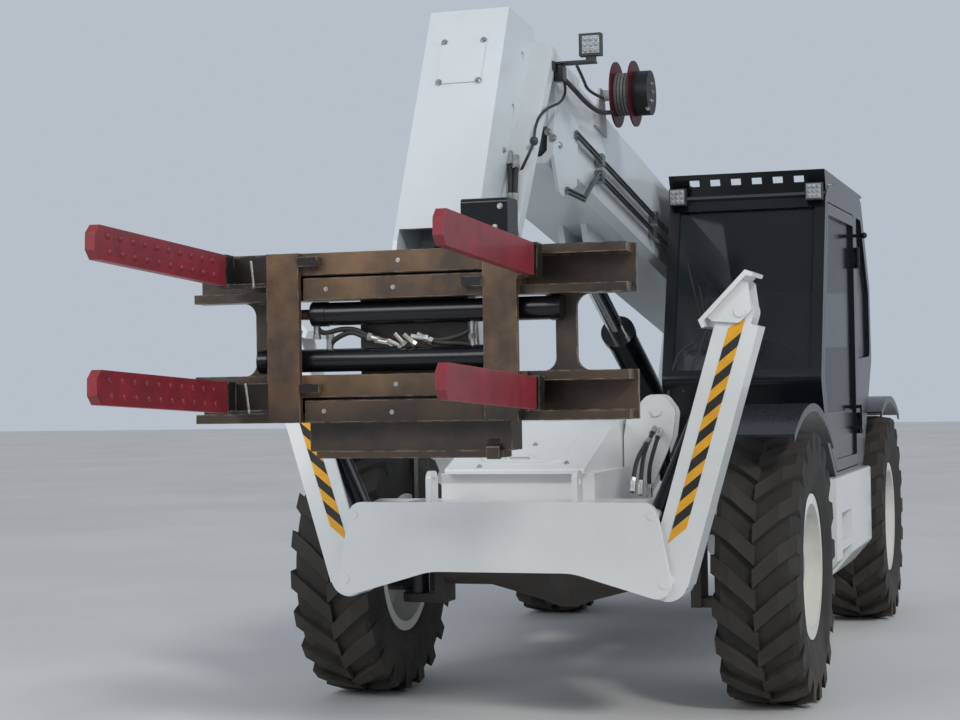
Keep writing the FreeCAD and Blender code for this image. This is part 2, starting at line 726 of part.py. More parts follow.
def make_pods():
    box_front = WHEELBASE / 2 - BOX_FRONT_GAP
    top = CAB_FLOOR_Z - SEAT
    pod = prism_yz([
        (RAIL_OUT_Y, top), (BOX_OUT_Y, top, 12), (BOX_OUT_Y, BOX_LOW_Z + 130, 25),
        (BOX_OUT_Y - 110, BOX_LOW_Z, 25), (RAIL_OUT_Y + 250, BOX_LOW_Z), (RAIL_OUT_Y, RAIL_LOW_Z)],
        -WHEELBASE / 2 + BOX_REAR_GAP, box_front)
    steps = []
    step_front = box_front - STEP_FRONT_IN
    for i in range(STEPS):
        z = STEP_LOW_Z + i * STEP_PITCH
        steps.append(box(step_front - STEP_L, step_front, BOX_OUT_Y - STEP_DEPTH, BOX_OUT_Y + 1,
                         z, z + STEP_H))
    node("side_box", cut_all(pod, steps))

    cover_half = WHEELBASE / 2 - POD_GAP
    inner = COVER_OUT_Y - COVER_WALL
    cover = prism_yz([
        (-RAIL_OUT_Y, COVER_TOP_Z), (-COVER_OUT_Y + 110, COVER_TOP_Z, 60),
        (-COVER_OUT_Y, COVER_TOP_Z - 110, 60), (-COVER_OUT_Y, COVER_LOW_Z + 100, 25),
        (-COVER_OUT_Y + 80, COVER_LOW_Z, 25), (-RAIL_OUT_Y, COVER_LOW_Z)], -cover_half, cover_half)
    room = box(COVER_WALL - cover_half, cover_half - COVER_WALL, -inner, -RAIL_OUT_Y + 1,
               COVER_LOW_Z + COVER_WALL, COVER_TOP_Z - COVER_WALL)
    slots = []
    for i in range(LOUVRES):
        z = COVER_TOP_Z - 170 - i * LOUVRE_STEP
        slots.append(box(-LOUVRE_L / 2, LOUVRE_L / 2, -COVER_OUT_Y - 1, -inner + 1, z - LOUVRE_H, z))
    node("engine_cover", cut_all(cover.cut(room), slots))
    engine_out = -RAIL_OUT_Y - SEAT
    node("engine", box(-ENGINE_L * 0.65, ENGINE_L * 0.35, engine_out - ENGINE_W, engine_out,
                       ENGINE_LOW_Z, ENGINE_LOW_Z + ENGINE_H))


# Front plate, beam, hood and levelling bracket
def make_front():
    outline = FRONT_PLATE_HALF + mirrored(FRONT_PLATE_HALF)
    front_in = FRONT_PLATE_X - FRONT_PLATE_T
    plate = [prism_yz(outline, front_in, FRONT_PLATE_X)]
    beam = [prism_yz(outline, BEAM_REAR_X, BEAM_REAR_X + PLATE_T),
            box(BEAM_REAR_X + PLATE_T, front_in - SEAT, -BEAM_CORE_HALF, BEAM_CORE_HALF,
                BEAM_CORE_LOW_Z, FRONT_PLATE_TOP_Z)]
    ear_x = front_in - EAR_L / 2 - SEAT
    ear_top = FRONT_PLATE_TOP_Z + EAR_H
    ear = prism_xz([(ear_x - EAR_L / 2, FRONT_PLATE_TOP_Z - 5), (ear_x + EAR_L / 2, FRONT_PLATE_TOP_Z - 5),
                    (ear_x + EAR_L / 2, ear_top, 40), (ear_x - EAR_L / 2, ear_top, 40)],
                   EAR_Y - EAR_HALF_T, EAR_Y + EAR_HALF_T)
    ear = ear.cut(pin_y(ear_x, EAR_Y - EAR_HALF_T - 1, EAR_Y + EAR_HALF_T + 1, ear_top - 44, 17))
    beam += [ear, mirror_y(ear)]
    pins = [
        # y, z, radius
        (STAB_PIVOT_Y, STAB_PIVOT_Z, STAB_PIN_R),
        (STAB_CYL_Y, STAB_CYL_Z, STAB_CYL_PIN_R),
    ]
    for y, z, radius in pins:
        pin = pin_x(BEAM_REAR_X, front_in - SEAT, y, z, radius)
        boss = pin_x(front_in, FRONT_PLATE_X + 3, y, z, radius - PIN_SIDE)
        beam += [pin, mirror_y(pin)]
        plate += [boss, mirror_y(boss)]
    node("front_plate", fuse(*plate))
    node("front_beam", fuse(*beam))


def make_hood():
    top_x = HOOD_FRONT_X - HOOD_SLOPE_L
    hood = prism_xz([
        (HOOD_FRONT_X, RAIL_TOP_Z), (HOOD_FRONT_X, HOOD_FRONT_Z, 12), (top_x, HOOD_TOP_Z, 120),
        (top_x - HOOD_FLAT_L, HOOD_TOP_Z, 30), (top_x - HOOD_FLAT_L, RAIL_TOP_Z)], -HOOD_HALF_W, HOOD_HALF_W)
    fall = (HOOD_TOP_Z - HOOD_FRONT_Z) / HOOD_SLOPE_L
    lid = prism_xy([(190, -190, 80), (190, 190, 80), (-150, 190, 20), (-150, -190, 20)], -12, 6)
    grip = box(144, 158, -60, 60, 22, 34)
    posts = [box(144, 158, y, y + 12, 5, 24) for y in (-60, 48)]
    lid = turned(fuse(lid, grip, *posts), degrees(atan(fall)), ORIGIN, AX_Y)
    back = HOOD_SLOPE_L * 0.42
    node("hood", fuse(hood, moved(lid, HOOD_FRONT_X - back, 0, HOOD_FRONT_Z + back * fall)))


def make_tower():
    """Two plates on the left rail that hold the sway cylinder of the front axle."""
    back_x = WHEELBASE / 2 + TOWER_BACK
    front_x = back_x + TOWER_PITCH + PLATE_T
    side_in = HOOD_HALF_W + JOINT_GAP
    rail_y = RAIL_OUT_Y + SEAT
    outline = [
        # y, z, corner radius
        (side_in, RAIL_TOP_Z + SEAT), (rail_y, RAIL_TOP_Z + SEAT), (rail_y, RAIL_TOP_Z - 150),
        (rail_y + 68, RAIL_TOP_Z - 150, 15), (rail_y + 128, RAIL_TOP_Z - 50),
        (rail_y + 208, RAIL_TOP_Z + 140, 40),
        (rail_y + 223, RAIL_TOP_Z + 260, 60), (rail_y + 168, RAIL_TOP_Z + 335, 50),
        (side_in + 114, RAIL_TOP_Z + 335, 60), (side_in + 14, RAIL_TOP_Z + 220), (side_in, RAIL_TOP_Z + 140)]
    plates = [prism_yz(outline, back_x, back_x + PLATE_T), prism_yz(outline, front_x - PLATE_T, front_x)]
    pin_at = (rail_y + 130, RAIL_TOP_Z + 255)
    web = box(back_x, front_x, rail_y, rail_y + 40, RAIL_TOP_Z - 140, RAIL_TOP_Z - 60)

    mid = (back_x + front_x) / 2
    top = V(mid, pin_at[0], pin_at[1])
    foot = V(WHEELBASE / 2, rail_y + 165, TYRE_R + AXLE_TUBE_R * 0.7)
    way = foot.sub(top).normalize()
    eye_half = (TOWER_PITCH - PLATE_T) / 2 - PIN_SIDE
    eye = pin_x(mid - eye_half, mid + eye_half, top.y, top.z, 40)
    passage = rod(top.add(way * 30), foot, SWAY_R + 5)
    pin = pin_x(back_x - 10, front_x + 10, pin_at[0], pin_at[1], SWAY_PIN_R)
    node("tower", largest(fuse(*plates, web).cut(passage).fuse(pin)))
    barrel = fuse(eye, rod(top.add(way * 30), top.add(way * 330), SWAY_R), rod(top.add(way * 300), foot, 18))
    barrel = barrel.cut(pin_x(mid - eye_half - 1, mid + eye_half + 1, top.y, top.z, SWAY_PIN_R + RUN_FIT))
    housing = pin_y(WHEELBASE / 2, 0, TRACK, TYRE_R, AXLE_TUBE_R + SEAT)
    node("sway_cylinder", largest(barrel.cut(housing)))


# Stabilisers, drawn for the left side
def along_leg(d, n):
    """Point of the left stabiliser, d along the folded leg and n outwards across it."""
    a = radians(STAB_LEAN_DEG)
    return (STAB_PIVOT_Y + d * cos(a) + n * sin(a), STAB_PIVOT_Z + d * sin(a) - n * cos(a))


def leg_outline(d0, d1, n0, n1):
    return [along_leg(d0, n0), along_leg(d1, n0), along_leg(d1, n1), along_leg(d0, n1)]


def make_stabilisers():
    x0 = STAB_X - STAB_HALF_X
    x1 = STAB_X + STAB_HALF_X
    foot_y, foot_z = along_leg(LEG_L, 0)
    blank = fuse(
        prism_yz(leg_outline(0, LEG_L - 40, -LEG_HALF_W, LEG_HALF_W), x0, x1),
        pin_x(x0, x1, STAB_PIVOT_Y, STAB_PIVOT_Z, LEG_PIVOT_R),
        prism_yz(leg_outline(LEG_L - LEG_TIP_L, LEG_L, -LEG_TIP_HALF_W, LEG_TIP_HALF_W), x0, x1),
        pin_x(x0, x1, foot_y, foot_z, LEG_TIP_HALF_W))
    channel = prism_yz(leg_outline(LEG_ROOT_L, LEG_L + LEG_HALF_W, -LEG_HALF_W - 10, LEG_HALF_W - LEG_WALL),
                       x0 + LEG_WALL, x1 - LEG_WALL)
    bores = [pin_x(x0 - 1, x1 + 1, STAB_PIVOT_Y, STAB_PIVOT_Z, STAB_PIN_R + RUN_FIT),
             pin_x(x0 - 1, x1 + 1, foot_y, foot_z, FOOT_PIN_R + RUN_FIT)]
    leg = cut_all(blank.cut(channel), bores)

    turn = radians(STAB_LEAN_DEG + FOOT_TURN_DEG)
    nrm = (cos(turn), sin(turn))
    along = (-nrm[1], nrm[0])

    def at_foot(t, h, *radius):
        return (foot_y + along[0] * t + nrm[0] * h, foot_z + along[1] * t + nrm[1] * h) + radius

    cheek = [at_foot(-FOOT_CHEEK_HALF, FOOT_DROP), at_foot(FOOT_CHEEK_HALF, FOOT_DROP),
             at_foot(FOOT_CHEEK_HALF, FOOT_DROP - 22), at_foot(38, -32, 20), at_foot(-38, -32, 20),
             at_foot(-FOOT_CHEEK_HALF, FOOT_DROP - 22)]
    half = FOOT_LEN / 2
    sole = [at_foot(-half, FOOT_DROP + FOOT_T), at_foot(-half - 14, FOOT_DROP - 16),
            at_foot(-half + 2, FOOT_DROP - 22), at_foot(-half + 16, FOOT_DROP), at_foot(half - 16, FOOT_DROP),
            at_foot(half - 2, FOOT_DROP - 22), at_foot(half + 14, FOOT_DROP - 16),
            at_foot(half, FOOT_DROP + FOOT_T)]
    cheek_in = STAB_HALF_X + PIN_SIDE
    cheek_out = cheek_in + FOOT_CHEEK_T
    foot = fuse(
        prism_yz(cheek, STAB_X - cheek_out, STAB_X - cheek_in),
        prism_yz(cheek, STAB_X + cheek_in, STAB_X + cheek_out),
        prism_yz(sole, STAB_X - cheek_in - FOOT_SIDE, STAB_X + cheek_in + FOOT_SIDE),
        pin_x(STAB_X - cheek_out - 6, STAB_X + cheek_out + 6, foot_y, foot_z, FOOT_PIN_R))

    base = V(STAB_X, STAB_CYL_Y, STAB_CYL_Z)
    eye = V(STAB_X, *along_leg(LEG_ROD_D, LEG_ROD_N))
    barrel, piston = cylinder_pair(base, eye, AX_X, STAB_BARREL_L, STAB_BARREL_R, STAB_ROD_R,
                                   STAB_BARREL_R - 2, STAB_CYL_PIN_R, 30, 33, 26, 0)
    for side, flip in (("left", False), ("right", True)):
        for name, shape in (("leg", leg), ("foot", foot), ("barrel", barrel), ("rod", piston)):
            node("stabiliser_" + name + "_" + side, mirror_y(shape) if flip else shape)


def cylinder_pair(base, eye, pin_axis, barrel_l, barrel_r, rod_r, base_eye_r, base_pin_r, base_w,
                  rod_eye_r, rod_eye_w, closing):
    """Barrel with its base eye on a pin, and rod with its eye, along the line from base to eye.

    closing is how far the rod can still slide in from here.
    """
    way = eye.sub(base)
    length = way.Length
    way.normalize()

    def at(t):
        return base.add(way * t)

    def across(point, half, radius):
        return Part.makeCylinder(radius, 2 * half, point.sub(pin_axis * half), pin_axis)

    bore_start = base_eye_r + 15
    body = rod(at(base_eye_r * 0.6), at(barrel_l), barrel_r)
    gland = rod(at(barrel_l - 50), at(barrel_l), barrel_r * 1.12)
    barrel = fuse(body, gland, across(base, base_w, base_eye_r))
    barrel = barrel.cut(rod(at(bore_start), at(barrel_l + 1), rod_r + SEAT))
    barrel = barrel.cut(across(base, base_w + 1, base_pin_r + RUN_FIT))
    shaft = rod(at(bore_start + 10 + closing), at(length), rod_r)
    return barrel, fuse(shaft, across(eye, rod_eye_w, rod_eye_r))


# Boom, drawn along +X from its pivot and then leaned back to its angle
def lean(shape):
    result = shape.copy()
    result.rotate(ORIGIN, AX_Y, -BOOM_DEG)
    result.translate(V(BOOM_PIVOT_X, 0, BOOM_PIVOT_Z))
    return result


def on_boom(u, w):
    """Place (x, z) of a point u along the boom and w above its centre line."""
    a = radians(BOOM_DEG)
    return (BOOM_PIVOT_X + u * cos(a) - w * sin(a), BOOM_PIVOT_Z + u * sin(a) + w * cos(a))


def boom_section(half_w, half_h, chamfer):
    left = [(half_w - chamfer / 2, half_h), (half_w, half_h - chamfer / 2),
            (half_w, -half_h + chamfer), (half_w - chamfer, -half_h)]
    return left + mirrored(left)


def slide_pads(u, inner, outer):
    """Four pads from u on, each from an inner (half width, half height) to an outer one."""
    pads = []
    for s in (1, -1):
        y0, y1 = span(s * inner[0], s * outer[0])
        z0, z1 = span(s * inner[1], s * outer[1])
        pads.append(box(u, u + PAD_L, y0, y1, -PAD_HALF_W, PAD_HALF_W))
        pads.append(box(u, u + PAD_L, -PAD_HALF_W, PAD_HALF_W, z0, z1))
    return pads


def make_boom():
    outer = prism_yz(boom_section(BOOM_HALF_W, BOOM_HALF_H, BOOM_CHAMFER), -BOOM_TAIL, BOOM_NOSE_U)
    room_w = BOOM_HALF_W - BOOM_WALL
    room_h = BOOM_HALF_H - BOOM_WALL
    room = prism_yz(boom_section(room_w, room_h, BOOM_CHAMFER * 0.7), BOOM_BORE_START, BOOM_NOSE_U + 1)
    collar_w = BOOM_HALF_W + COLLAR_T
    collar_h = BOOM_HALF_H + COLLAR_T
    collar = prism_yz(boom_section(collar_w, collar_h, BOOM_CHAMFER), BOOM_NOSE_U - COLLAR_L, BOOM_NOSE_U)
    cheek = prism_xz(shifted([
        # u from the nose, w, corner radius
        (-COLLAR_L, 0), (0, 0), (0, 40 - collar_h), (-120, -collar_h - CHEEK_DROP, 20),
        (-190, -collar_h - CHEEK_DROP, 20), (-COLLAR_L, -collar_h)], BOOM_NOSE_U, 0),
        collar_w - COLLAR_T, collar_w)
    hub = pin_y(0, -BOOM_HALF_W, BOOM_HALF_W, 0, BOOM_HUB_R)
    bore = pin_y(0, -BOOM_HALF_W - 1, BOOM_HALF_W + 1, 0, BOOM_PIN_R + RUN_FIT)
    body = fuse(outer, collar, cheek, mirror_y(cheek), hub).cut(room).cut(bore)
    pads = slide_pads(BOOM_NOSE_U - PAD_L - 10, (FLY_HALF_W + SEAT, FLY_HALF_H + SEAT), (room_w, room_h))
    ear = prism_xz(shifted([
        # u from the rod's eye, w, corner radius
        (-LIFT_EAR_HALF_L, 2 - BOOM_HALF_H), (LIFT_EAR_HALF_L, 2 - BOOM_HALF_H),
        (LIFT_EAR_TIP_HALF, LIFT_EYE_W - 50, 60), (-LIFT_EAR_TIP_HALF, LIFT_EYE_W - 50, 60)],
        LIFT_EYE_U, 0), LIFT_EAR_IN, LIFT_EAR_IN + LIFT_EAR_T)
    node("boom", lean(fuse(body, *pads, ear, mirror_y(ear))))

    fly = prism_yz(boom_section(FLY_HALF_W, FLY_HALF_H, FLY_CHAMFER), FLY_TAIL_U, FLY_FRONT_U)
    fly = fly.cut(prism_yz(boom_section(FLY_HALF_W - FLY_WALL, FLY_HALF_H - FLY_WALL, FLY_CHAMFER * 0.7),
                           FLY_TAIL_U - 1, FLY_FRONT_U + 1))
    shoes = slide_pads(FLY_TAIL_U + 10, (FLY_HALF_W, FLY_HALF_H), (room_w - SEAT, room_h - SEAT))
    fly = lean(fuse(fly, *shoes))
    node("fly_boom", largest(fly.cut(head_blank())))


def make_lift_cylinders():
    eye_x, eye_z = on_boom(LIFT_EYE_U, LIFT_EYE_W)
    barrel, piston = cylinder_pair(V(LIFT_BASE_X, 0, LIFT_BASE_Z), V(eye_x, 0, eye_z), AX_Y,
                                   LIFT_BARREL_L, LIFT_BARREL_R, LIFT_ROD_R, 75, LIFT_PIN_R, 70, 50,
                                   LIFT_EAR_IN - PIN_SIDE, 200)
    node("lift_barrel", barrel)
    node("lift_rod", piston)
    barrel, piston = cylinder_pair(V(TILT_BASE_X, 0, TILT_BASE_Z), V(TILT_EYE_X, 0, TILT_EYE_Z), AX_Y,
                                   TILT_BARREL_L, TILT_BARREL_R, TILT_ROD_R, 50, TILT_BASE_PIN_R, 50, 40,
                                   TILT_EYE_HALF, 60)
    node("tilt_barrel", barrel)
    node("tilt_rod", piston)


def make_reel():
    """Hose reel on a bracket at the boom's upper left edge: flanges, wound hose and motor."""
    bracket = prism_xz(shifted([
        # u from the reel's axle, w, corner radius
        (-110, BOOM_HALF_H - 120), (110, BOOM_HALF_H - 120), (40, REEL_RISE + 30, 20),
        (-40, REEL_RISE + 30, 20)], REEL_U, 0), BOOM_HALF_W + SEAT, BOOM_HALF_W + 12)
    rows = [
        # first y, width, radius
        (-REEL_IN_Y + BOOM_HALF_W + 6, REEL_IN_Y - BOOM_HALF_W - 5, 26),
        (0, REEL_FLANGE_T, REEL_FLANGE_R),
        (REEL_FLANGE_T, REEL_W, REEL_CORE_R),
        (REEL_FLANGE_T + REEL_W, REEL_FLANGE_T, REEL_FLANGE_R),
        (2 * REEL_FLANGE_T + REEL_W, REEL_MOTOR_W, REEL_MOTOR_R),
    ]
    pitch = REEL_W / REEL_TURNS
    for i in range(REEL_TURNS):
        rows.append((REEL_FLANGE_T + (i + 0.14) * pitch, pitch * 0.72, REEL_CORE_R + REEL_HOSE_R))
    discs = [pin_y(REEL_U, REEL_IN_Y + y, REEL_IN_Y + y + width, REEL_RISE, radius)
             for y, width, radius in rows]
    node("hose_reel", lean(fuse(bracket, *discs)))


def make_pipes():
    """Two pairs of steel pipes along the boom's left side; the lower pair turns down at the nose."""
    clip_u = BOOM_NOSE_U - PIPE_CLIP_BACK
    routes = []
    for w in (-26, -44):
        routes.append([(PIPE_START_U, w), (clip_u + 430, w)])
    for w in (-107, -125):
        routes.append([(PIPE_START_U, w), (clip_u + 20, w), (clip_u + 154, w - 84), (clip_u + 272, w - 178),
                       (clip_u + 560, w - 214)])
    parts = []
    for route in routes:
        points = [V(u, PIPE_Y, w) for u, w in route]
        for a, b in zip(points, points[1:]):
            parts.append(rod(a, b.add(b.sub(a).normalize() * PIPE_R * 0.4), PIPE_R))
    for u in (clip_u - 20, LIFT_EYE_U - 480, PIPE_START_U + 120):
        for top in (-26, -107):
            parts.append(box(u - CLIP_HALF_L, u + CLIP_HALF_L, BOOM_HALF_W + SEAT, PIPE_Y + PIPE_R + 5,
                             top - 36, top + 18))
    node("boom_pipes", *lean(fuse(*parts)).Solids)


def head_blank():
    """Side of the head from its top front corner down to the tilt pivot and back up."""
    return prism_xz(shifted([
        # x, z from the tilt pivot, corner radius
        (-610, 1610), (-105, 625), (-30, 350), (75, 30), (62, -75, 60), (-60, -75, 60), (-90, -10),
        (-220, 250), (-410, 640), (-1000, 1510), (-960, 1580)], TILT_X, TILT_Z), -HEAD_HALF_W, HEAD_HALF_W)


def oval(x, z, run_x, run_z):
    """Long hole with round ends, from the outside of the head into both of its sides."""
    a = V(TILT_X + x, 0, TILT_Z + z)
    b = a.add(V(run_x, 0, run_z))
    side = V(-run_z, 0, run_x).normalize() * OVAL_R
    corners = [(p.x, p.z) for p in (a.add(side), b.add(side), b.sub(side), a.sub(side))]
    y0 = HEAD_HALF_W - OVAL_DEPTH
    y1 = HEAD_HALF_W + 1
    shape = fuse(prism_xz(corners, y0, y1), pin_y(a.x, y0, y1, a.z, OVAL_R), pin_y(b.x, y0, y1, b.z, OVAL_R))
    return [shape, mirror_y(shape)]


def make_head():
    inner = HEAD_HALF_W - HEAD_WALL
    hollow = prism_xz(shifted([
        # x, z from the tilt pivot
        (-630, 1530), (-150, 610), (-80, 350), (-20, -150), (-160, -150), (-240, 250), (-380, 640),
        (-940, 1480)], TILT_X, TILT_Z), -inner, inner)
    mouth = box(TILT_X - 320, TILT_X + 180, -inner, inner, TILT_Z - 150, TILT_Z + 670)
    flange = prism_xz(shifted([
        # x, z from the tilt pivot, corner radius
        (-1030, 1495), (-980, 1525, 12), (-370, 670), (-420, 635)], TILT_X, TILT_Z),
        HEAD_HALF_W - 1, FLANGE_OUT)
    round_z = TILT_Z + 1460
    corner = box(TILT_X - 1200, TILT_X - 800, FLANGE_OUT - 60, FLANGE_OUT + 1, round_z, round_z + 140)
    flange = flange.cut(corner.cut(pin_x(TILT_X - 1200, TILT_X - 800, FLANGE_OUT - 60, round_z, 60)))
    front = V(505, 0, -985).normalize()
    out = V(985, 0, 505).normalize() * COVER_T
    near = V(TILT_X - 610, 0, TILT_Z + 1610).add(front * 160)
    far = near.add(front * COVER_L)
    cover = prism_xz([(p.x, p.z) for p in (near, far, far.add(out), near.add(out))],
                     -COVER_HALF_W, COVER_HALF_W)
    base_pin = pin_y(TILT_BASE_X, -HEAD_HALF_W, HEAD_HALF_W, TILT_BASE_Z, TILT_BASE_PIN_R)
    boss = pin_y(TILT_X, inner - 14, HEAD_HALF_W, TILT_Z, TILT_PIN_R + 28)
    head = fuse(head_blank().cut(hollow).cut(mouth), base_pin, flange, mirror_y(flange), cover, boss,
                mirror_y(boss))
    cuts = oval(-640, 1190, 60, -117) + oval(-790, 1430, 60, -90)
    cuts.append(pin_y(TILT_X, -HEAD_HALF_W - 2, HEAD_HALF_W + 2, TILT_Z, TILT_PIN_R + RUN_FIT))
    node("boom_head", cut_all(head, cuts))

    x = TILT_X - 1010
    y = FLANGE_OUT + 150
    low = TILT_Z + 1452
    side = FLANGE_OUT + SEAT
    node("boom_lamp", fuse(
        box(x - LAMP_T / 2, x + LAMP_T / 2, y - LAMP / 2, y + LAMP / 2, low, low + LAMP),
        box(x - 14, x + 14, y - 20, y + 20, low - 26, low + 1),
        box(x - 16, x + 60, side, y + 24, low - 32, low - 24),
        box(x + 35, x + 90, side, side + 8, low - 62, low - 24)))


# Clamp: carriage, rails with their posts, cylinders and the sliding arms
def channel(low):
    """Guide rail of the clamp, a channel that opens forwards between two lips."""
    top = low + GUIDE_H
    return prism_xz([
        (GUIDE_BACK_X, low), (GUIDE_FRONT_X, low), (GUIDE_FRONT_X, low + GUIDE_LIP),
        (GUIDE_FRONT_X - GUIDE_T, low + GUIDE_LIP), (GUIDE_BACK_X + GUIDE_T, low + GUIDE_LIP),
        (GUIDE_BACK_X + GUIDE_T, top - GUIDE_LIP), (GUIDE_FRONT_X, top - GUIDE_LIP),
        (GUIDE_FRONT_X, top), (GUIDE_BACK_X, top)], -GUIDE_HALF_L, GUIDE_HALF_L)


def flare(y, z, out_y, out_z):
    """Hollow fillet where a post meets a rail."""
    y0, y1 = span(y, y + out_y * POST_FLARE)
    z0, z1 = span(z, z + out_z * POST_FLARE)
    block = box(GUIDE_BACK_X, GUIDE_BACK_X + POST_T, y0, y1, z0, z1)
    return block.cut(pin_x(GUIDE_BACK_X - 1, GUIDE_BACK_X + POST_T + 1, y + out_y * POST_FLARE,
                           z + out_z * POST_FLARE, POST_FLARE))


def make_clamp():
    post_low = GUIDE_LOW_Z + GUIDE_H
    parts = [channel(GUIDE_UP_Z), channel(GUIDE_LOW_Z)]
    for s in (1, -1):
        y0, y1 = span(s * (POST_Y - POST_HALF_W), s * (POST_Y + POST_HALF_W))
        parts.append(box(GUIDE_BACK_X, GUIDE_BACK_X + POST_T, y0, y1, post_low, GUIDE_UP_Z))
        for y, out_y in ((y0, -1), (y1, 1)):
            parts.append(flare(y, post_low, out_y, 1))
            parts.append(flare(y, GUIDE_UP_Z, out_y, -1))
        e0, e1 = span(s * GUIDE_HALF_L, s * (GUIDE_HALF_L + GUIDE_END_T))
        for low in (GUIDE_LOW_Z, GUIDE_UP_Z):
            parts.append(box(GUIDE_BACK_X, GUIDE_BACK_X + GUIDE_T, e0, e1, low, low + GUIDE_H))
    node("clamp_frame", fuse(*parts))

    rows = {
        # side: z of its rod, y of the barrel's closed and open ends
        "left": (GUIDE_UP_Z - 50, POST_Y, -380),
        "right": (post_low + 55, -POST_Y, 310),
    }
    node("clamp_cylinders", *[clamp_barrel(*row) for row in rows.values()])
    make_arms("left", -1, (-529, -398), -660, 97, 480, rows["left"][0],
              (GUIDE_UP_Z + 145, GUIDE_LOW_Z + 130))
    make_arms("right", 1, (327, 456), 510, 2, -390, rows["right"][0], (GUIDE_UP_Z + 50,))


def clamp_barrel(z, closed, opened):
    """Barrel across the clamp, seated on a post at its closed end."""
    way = 1 if opened > closed else -1
    x = CLAMP_BARREL_X
    stretches = [
        # first y, last y, radius
        (closed, opened, CLAMP_BARREL_R),
        (closed, closed + way * 40, CLAMP_HEAD_R),
        (opened - way * 60, opened, CLAMP_HEAD_R),
    ]
    discs = [pin_y(x, *span(a, b), z, radius) for a, b, radius in stretches]
    seat = box(GUIDE_BACK_X + POST_T + SEAT, x, *span(closed, closed + way * 40), z - 30, z + 30)
    bore = pin_y(x, *span(opened + way, opened - way * CLAMP_BORE_L), z, CLAMP_ROD_R + SEAT)
    return fuse(seat, *discs).cut(bore)


def make_carriage():
    """Plate behind the rails with the ears of the tilt pivot and of the tilt rod."""
    top = TILT_Z + CARRIAGE_RISE
    back_in = GUIDE_BACK_X - CARRIAGE_BACK_T
    ear = prism_xz([
        (TILT_X - 70, TILT_Z, 20), (TILT_X - 50, TILT_Z - 75, 40), (TILT_X + 40, TILT_Z - 75),
        (GUIDE_BACK_X, TILT_Z - 80), (GUIDE_BACK_X, top), (GUIDE_BACK_X - 60, top, 25),
        (TILT_X - 20, TILT_Z + 80, 60)], CARRIAGE_IN, CARRIAGE_OUT)
    back = box(back_in, GUIDE_BACK_X, -CARRIAGE_OUT, CARRIAGE_OUT, TILT_Z + 90, top)
    low = GUIDE_LOW_Z - FOOT_BAR_DROP
    foot = [box(GUIDE_BACK_X - 60, GUIDE_BACK_X + 70, -FOOT_BAR_HALF, FOOT_BAR_HALF, low, GUIDE_LOW_Z),
            box(GUIDE_BACK_X - 20, GUIDE_BACK_X + 84, 30 - FOOT_BAR_HALF, FOOT_BAR_HALF - 30,
                low - 26, low + 1),
            prism_xz([(GUIDE_BACK_X + 60, low + 60), (GUIDE_BACK_X + 60, low - 20),
                      (GUIDE_BACK_X + 104, low - 40, 15),
                      (GUIDE_BACK_X + 104, low + 24, 15), (GUIDE_BACK_X + 84, low + 24)],
                     FOOT_BAR_HALF - 90, FOOT_BAR_HALF - 40)]
    ear = fuse(ear, box(GUIDE_BACK_X - 60, GUIDE_BACK_X, CARRIAGE_IN, CARRIAGE_OUT, GUIDE_LOW_Z - 12,
                        GUIDE_LOW_Z + 40))
    rod_in = TILT_EYE_HALF + JOINT_GAP
    rod_ear = prism_xz([
        (TILT_EYE_X - 50, TILT_EYE_Z - 45, 30), (GUIDE_BACK_X, TILT_EYE_Z - 110),
        (GUIDE_BACK_X, TILT_EYE_Z + 110), (TILT_EYE_X - 50, TILT_EYE_Z + 60, 30)], rod_in, rod_in + 24)
    pin = pin_y(TILT_X, -CARRIAGE_OUT - 10, CARRIAGE_OUT + 10, TILT_Z, TILT_PIN_R)
    valve_z = top + 78
    post = box(back_in, back_in + PLATE_T, VALVE_IN_Y, CARRIAGE_OUT, top - 10, valve_z + 30)
    node("carriage", fuse(back, ear, mirror_y(ear), *foot, rod_ear, mirror_y(rod_ear), pin, post))
    valve_back = back_in - SEAT
    node("valve_block", prism_xz([
        (valve_back - 135, valve_z), (valve_back, valve_z), (valve_back, valve_z + 145, 18),
        (valve_back - 135, valve_z + 145, 18)], VALVE_IN_Y, VALVE_OUT_Y))


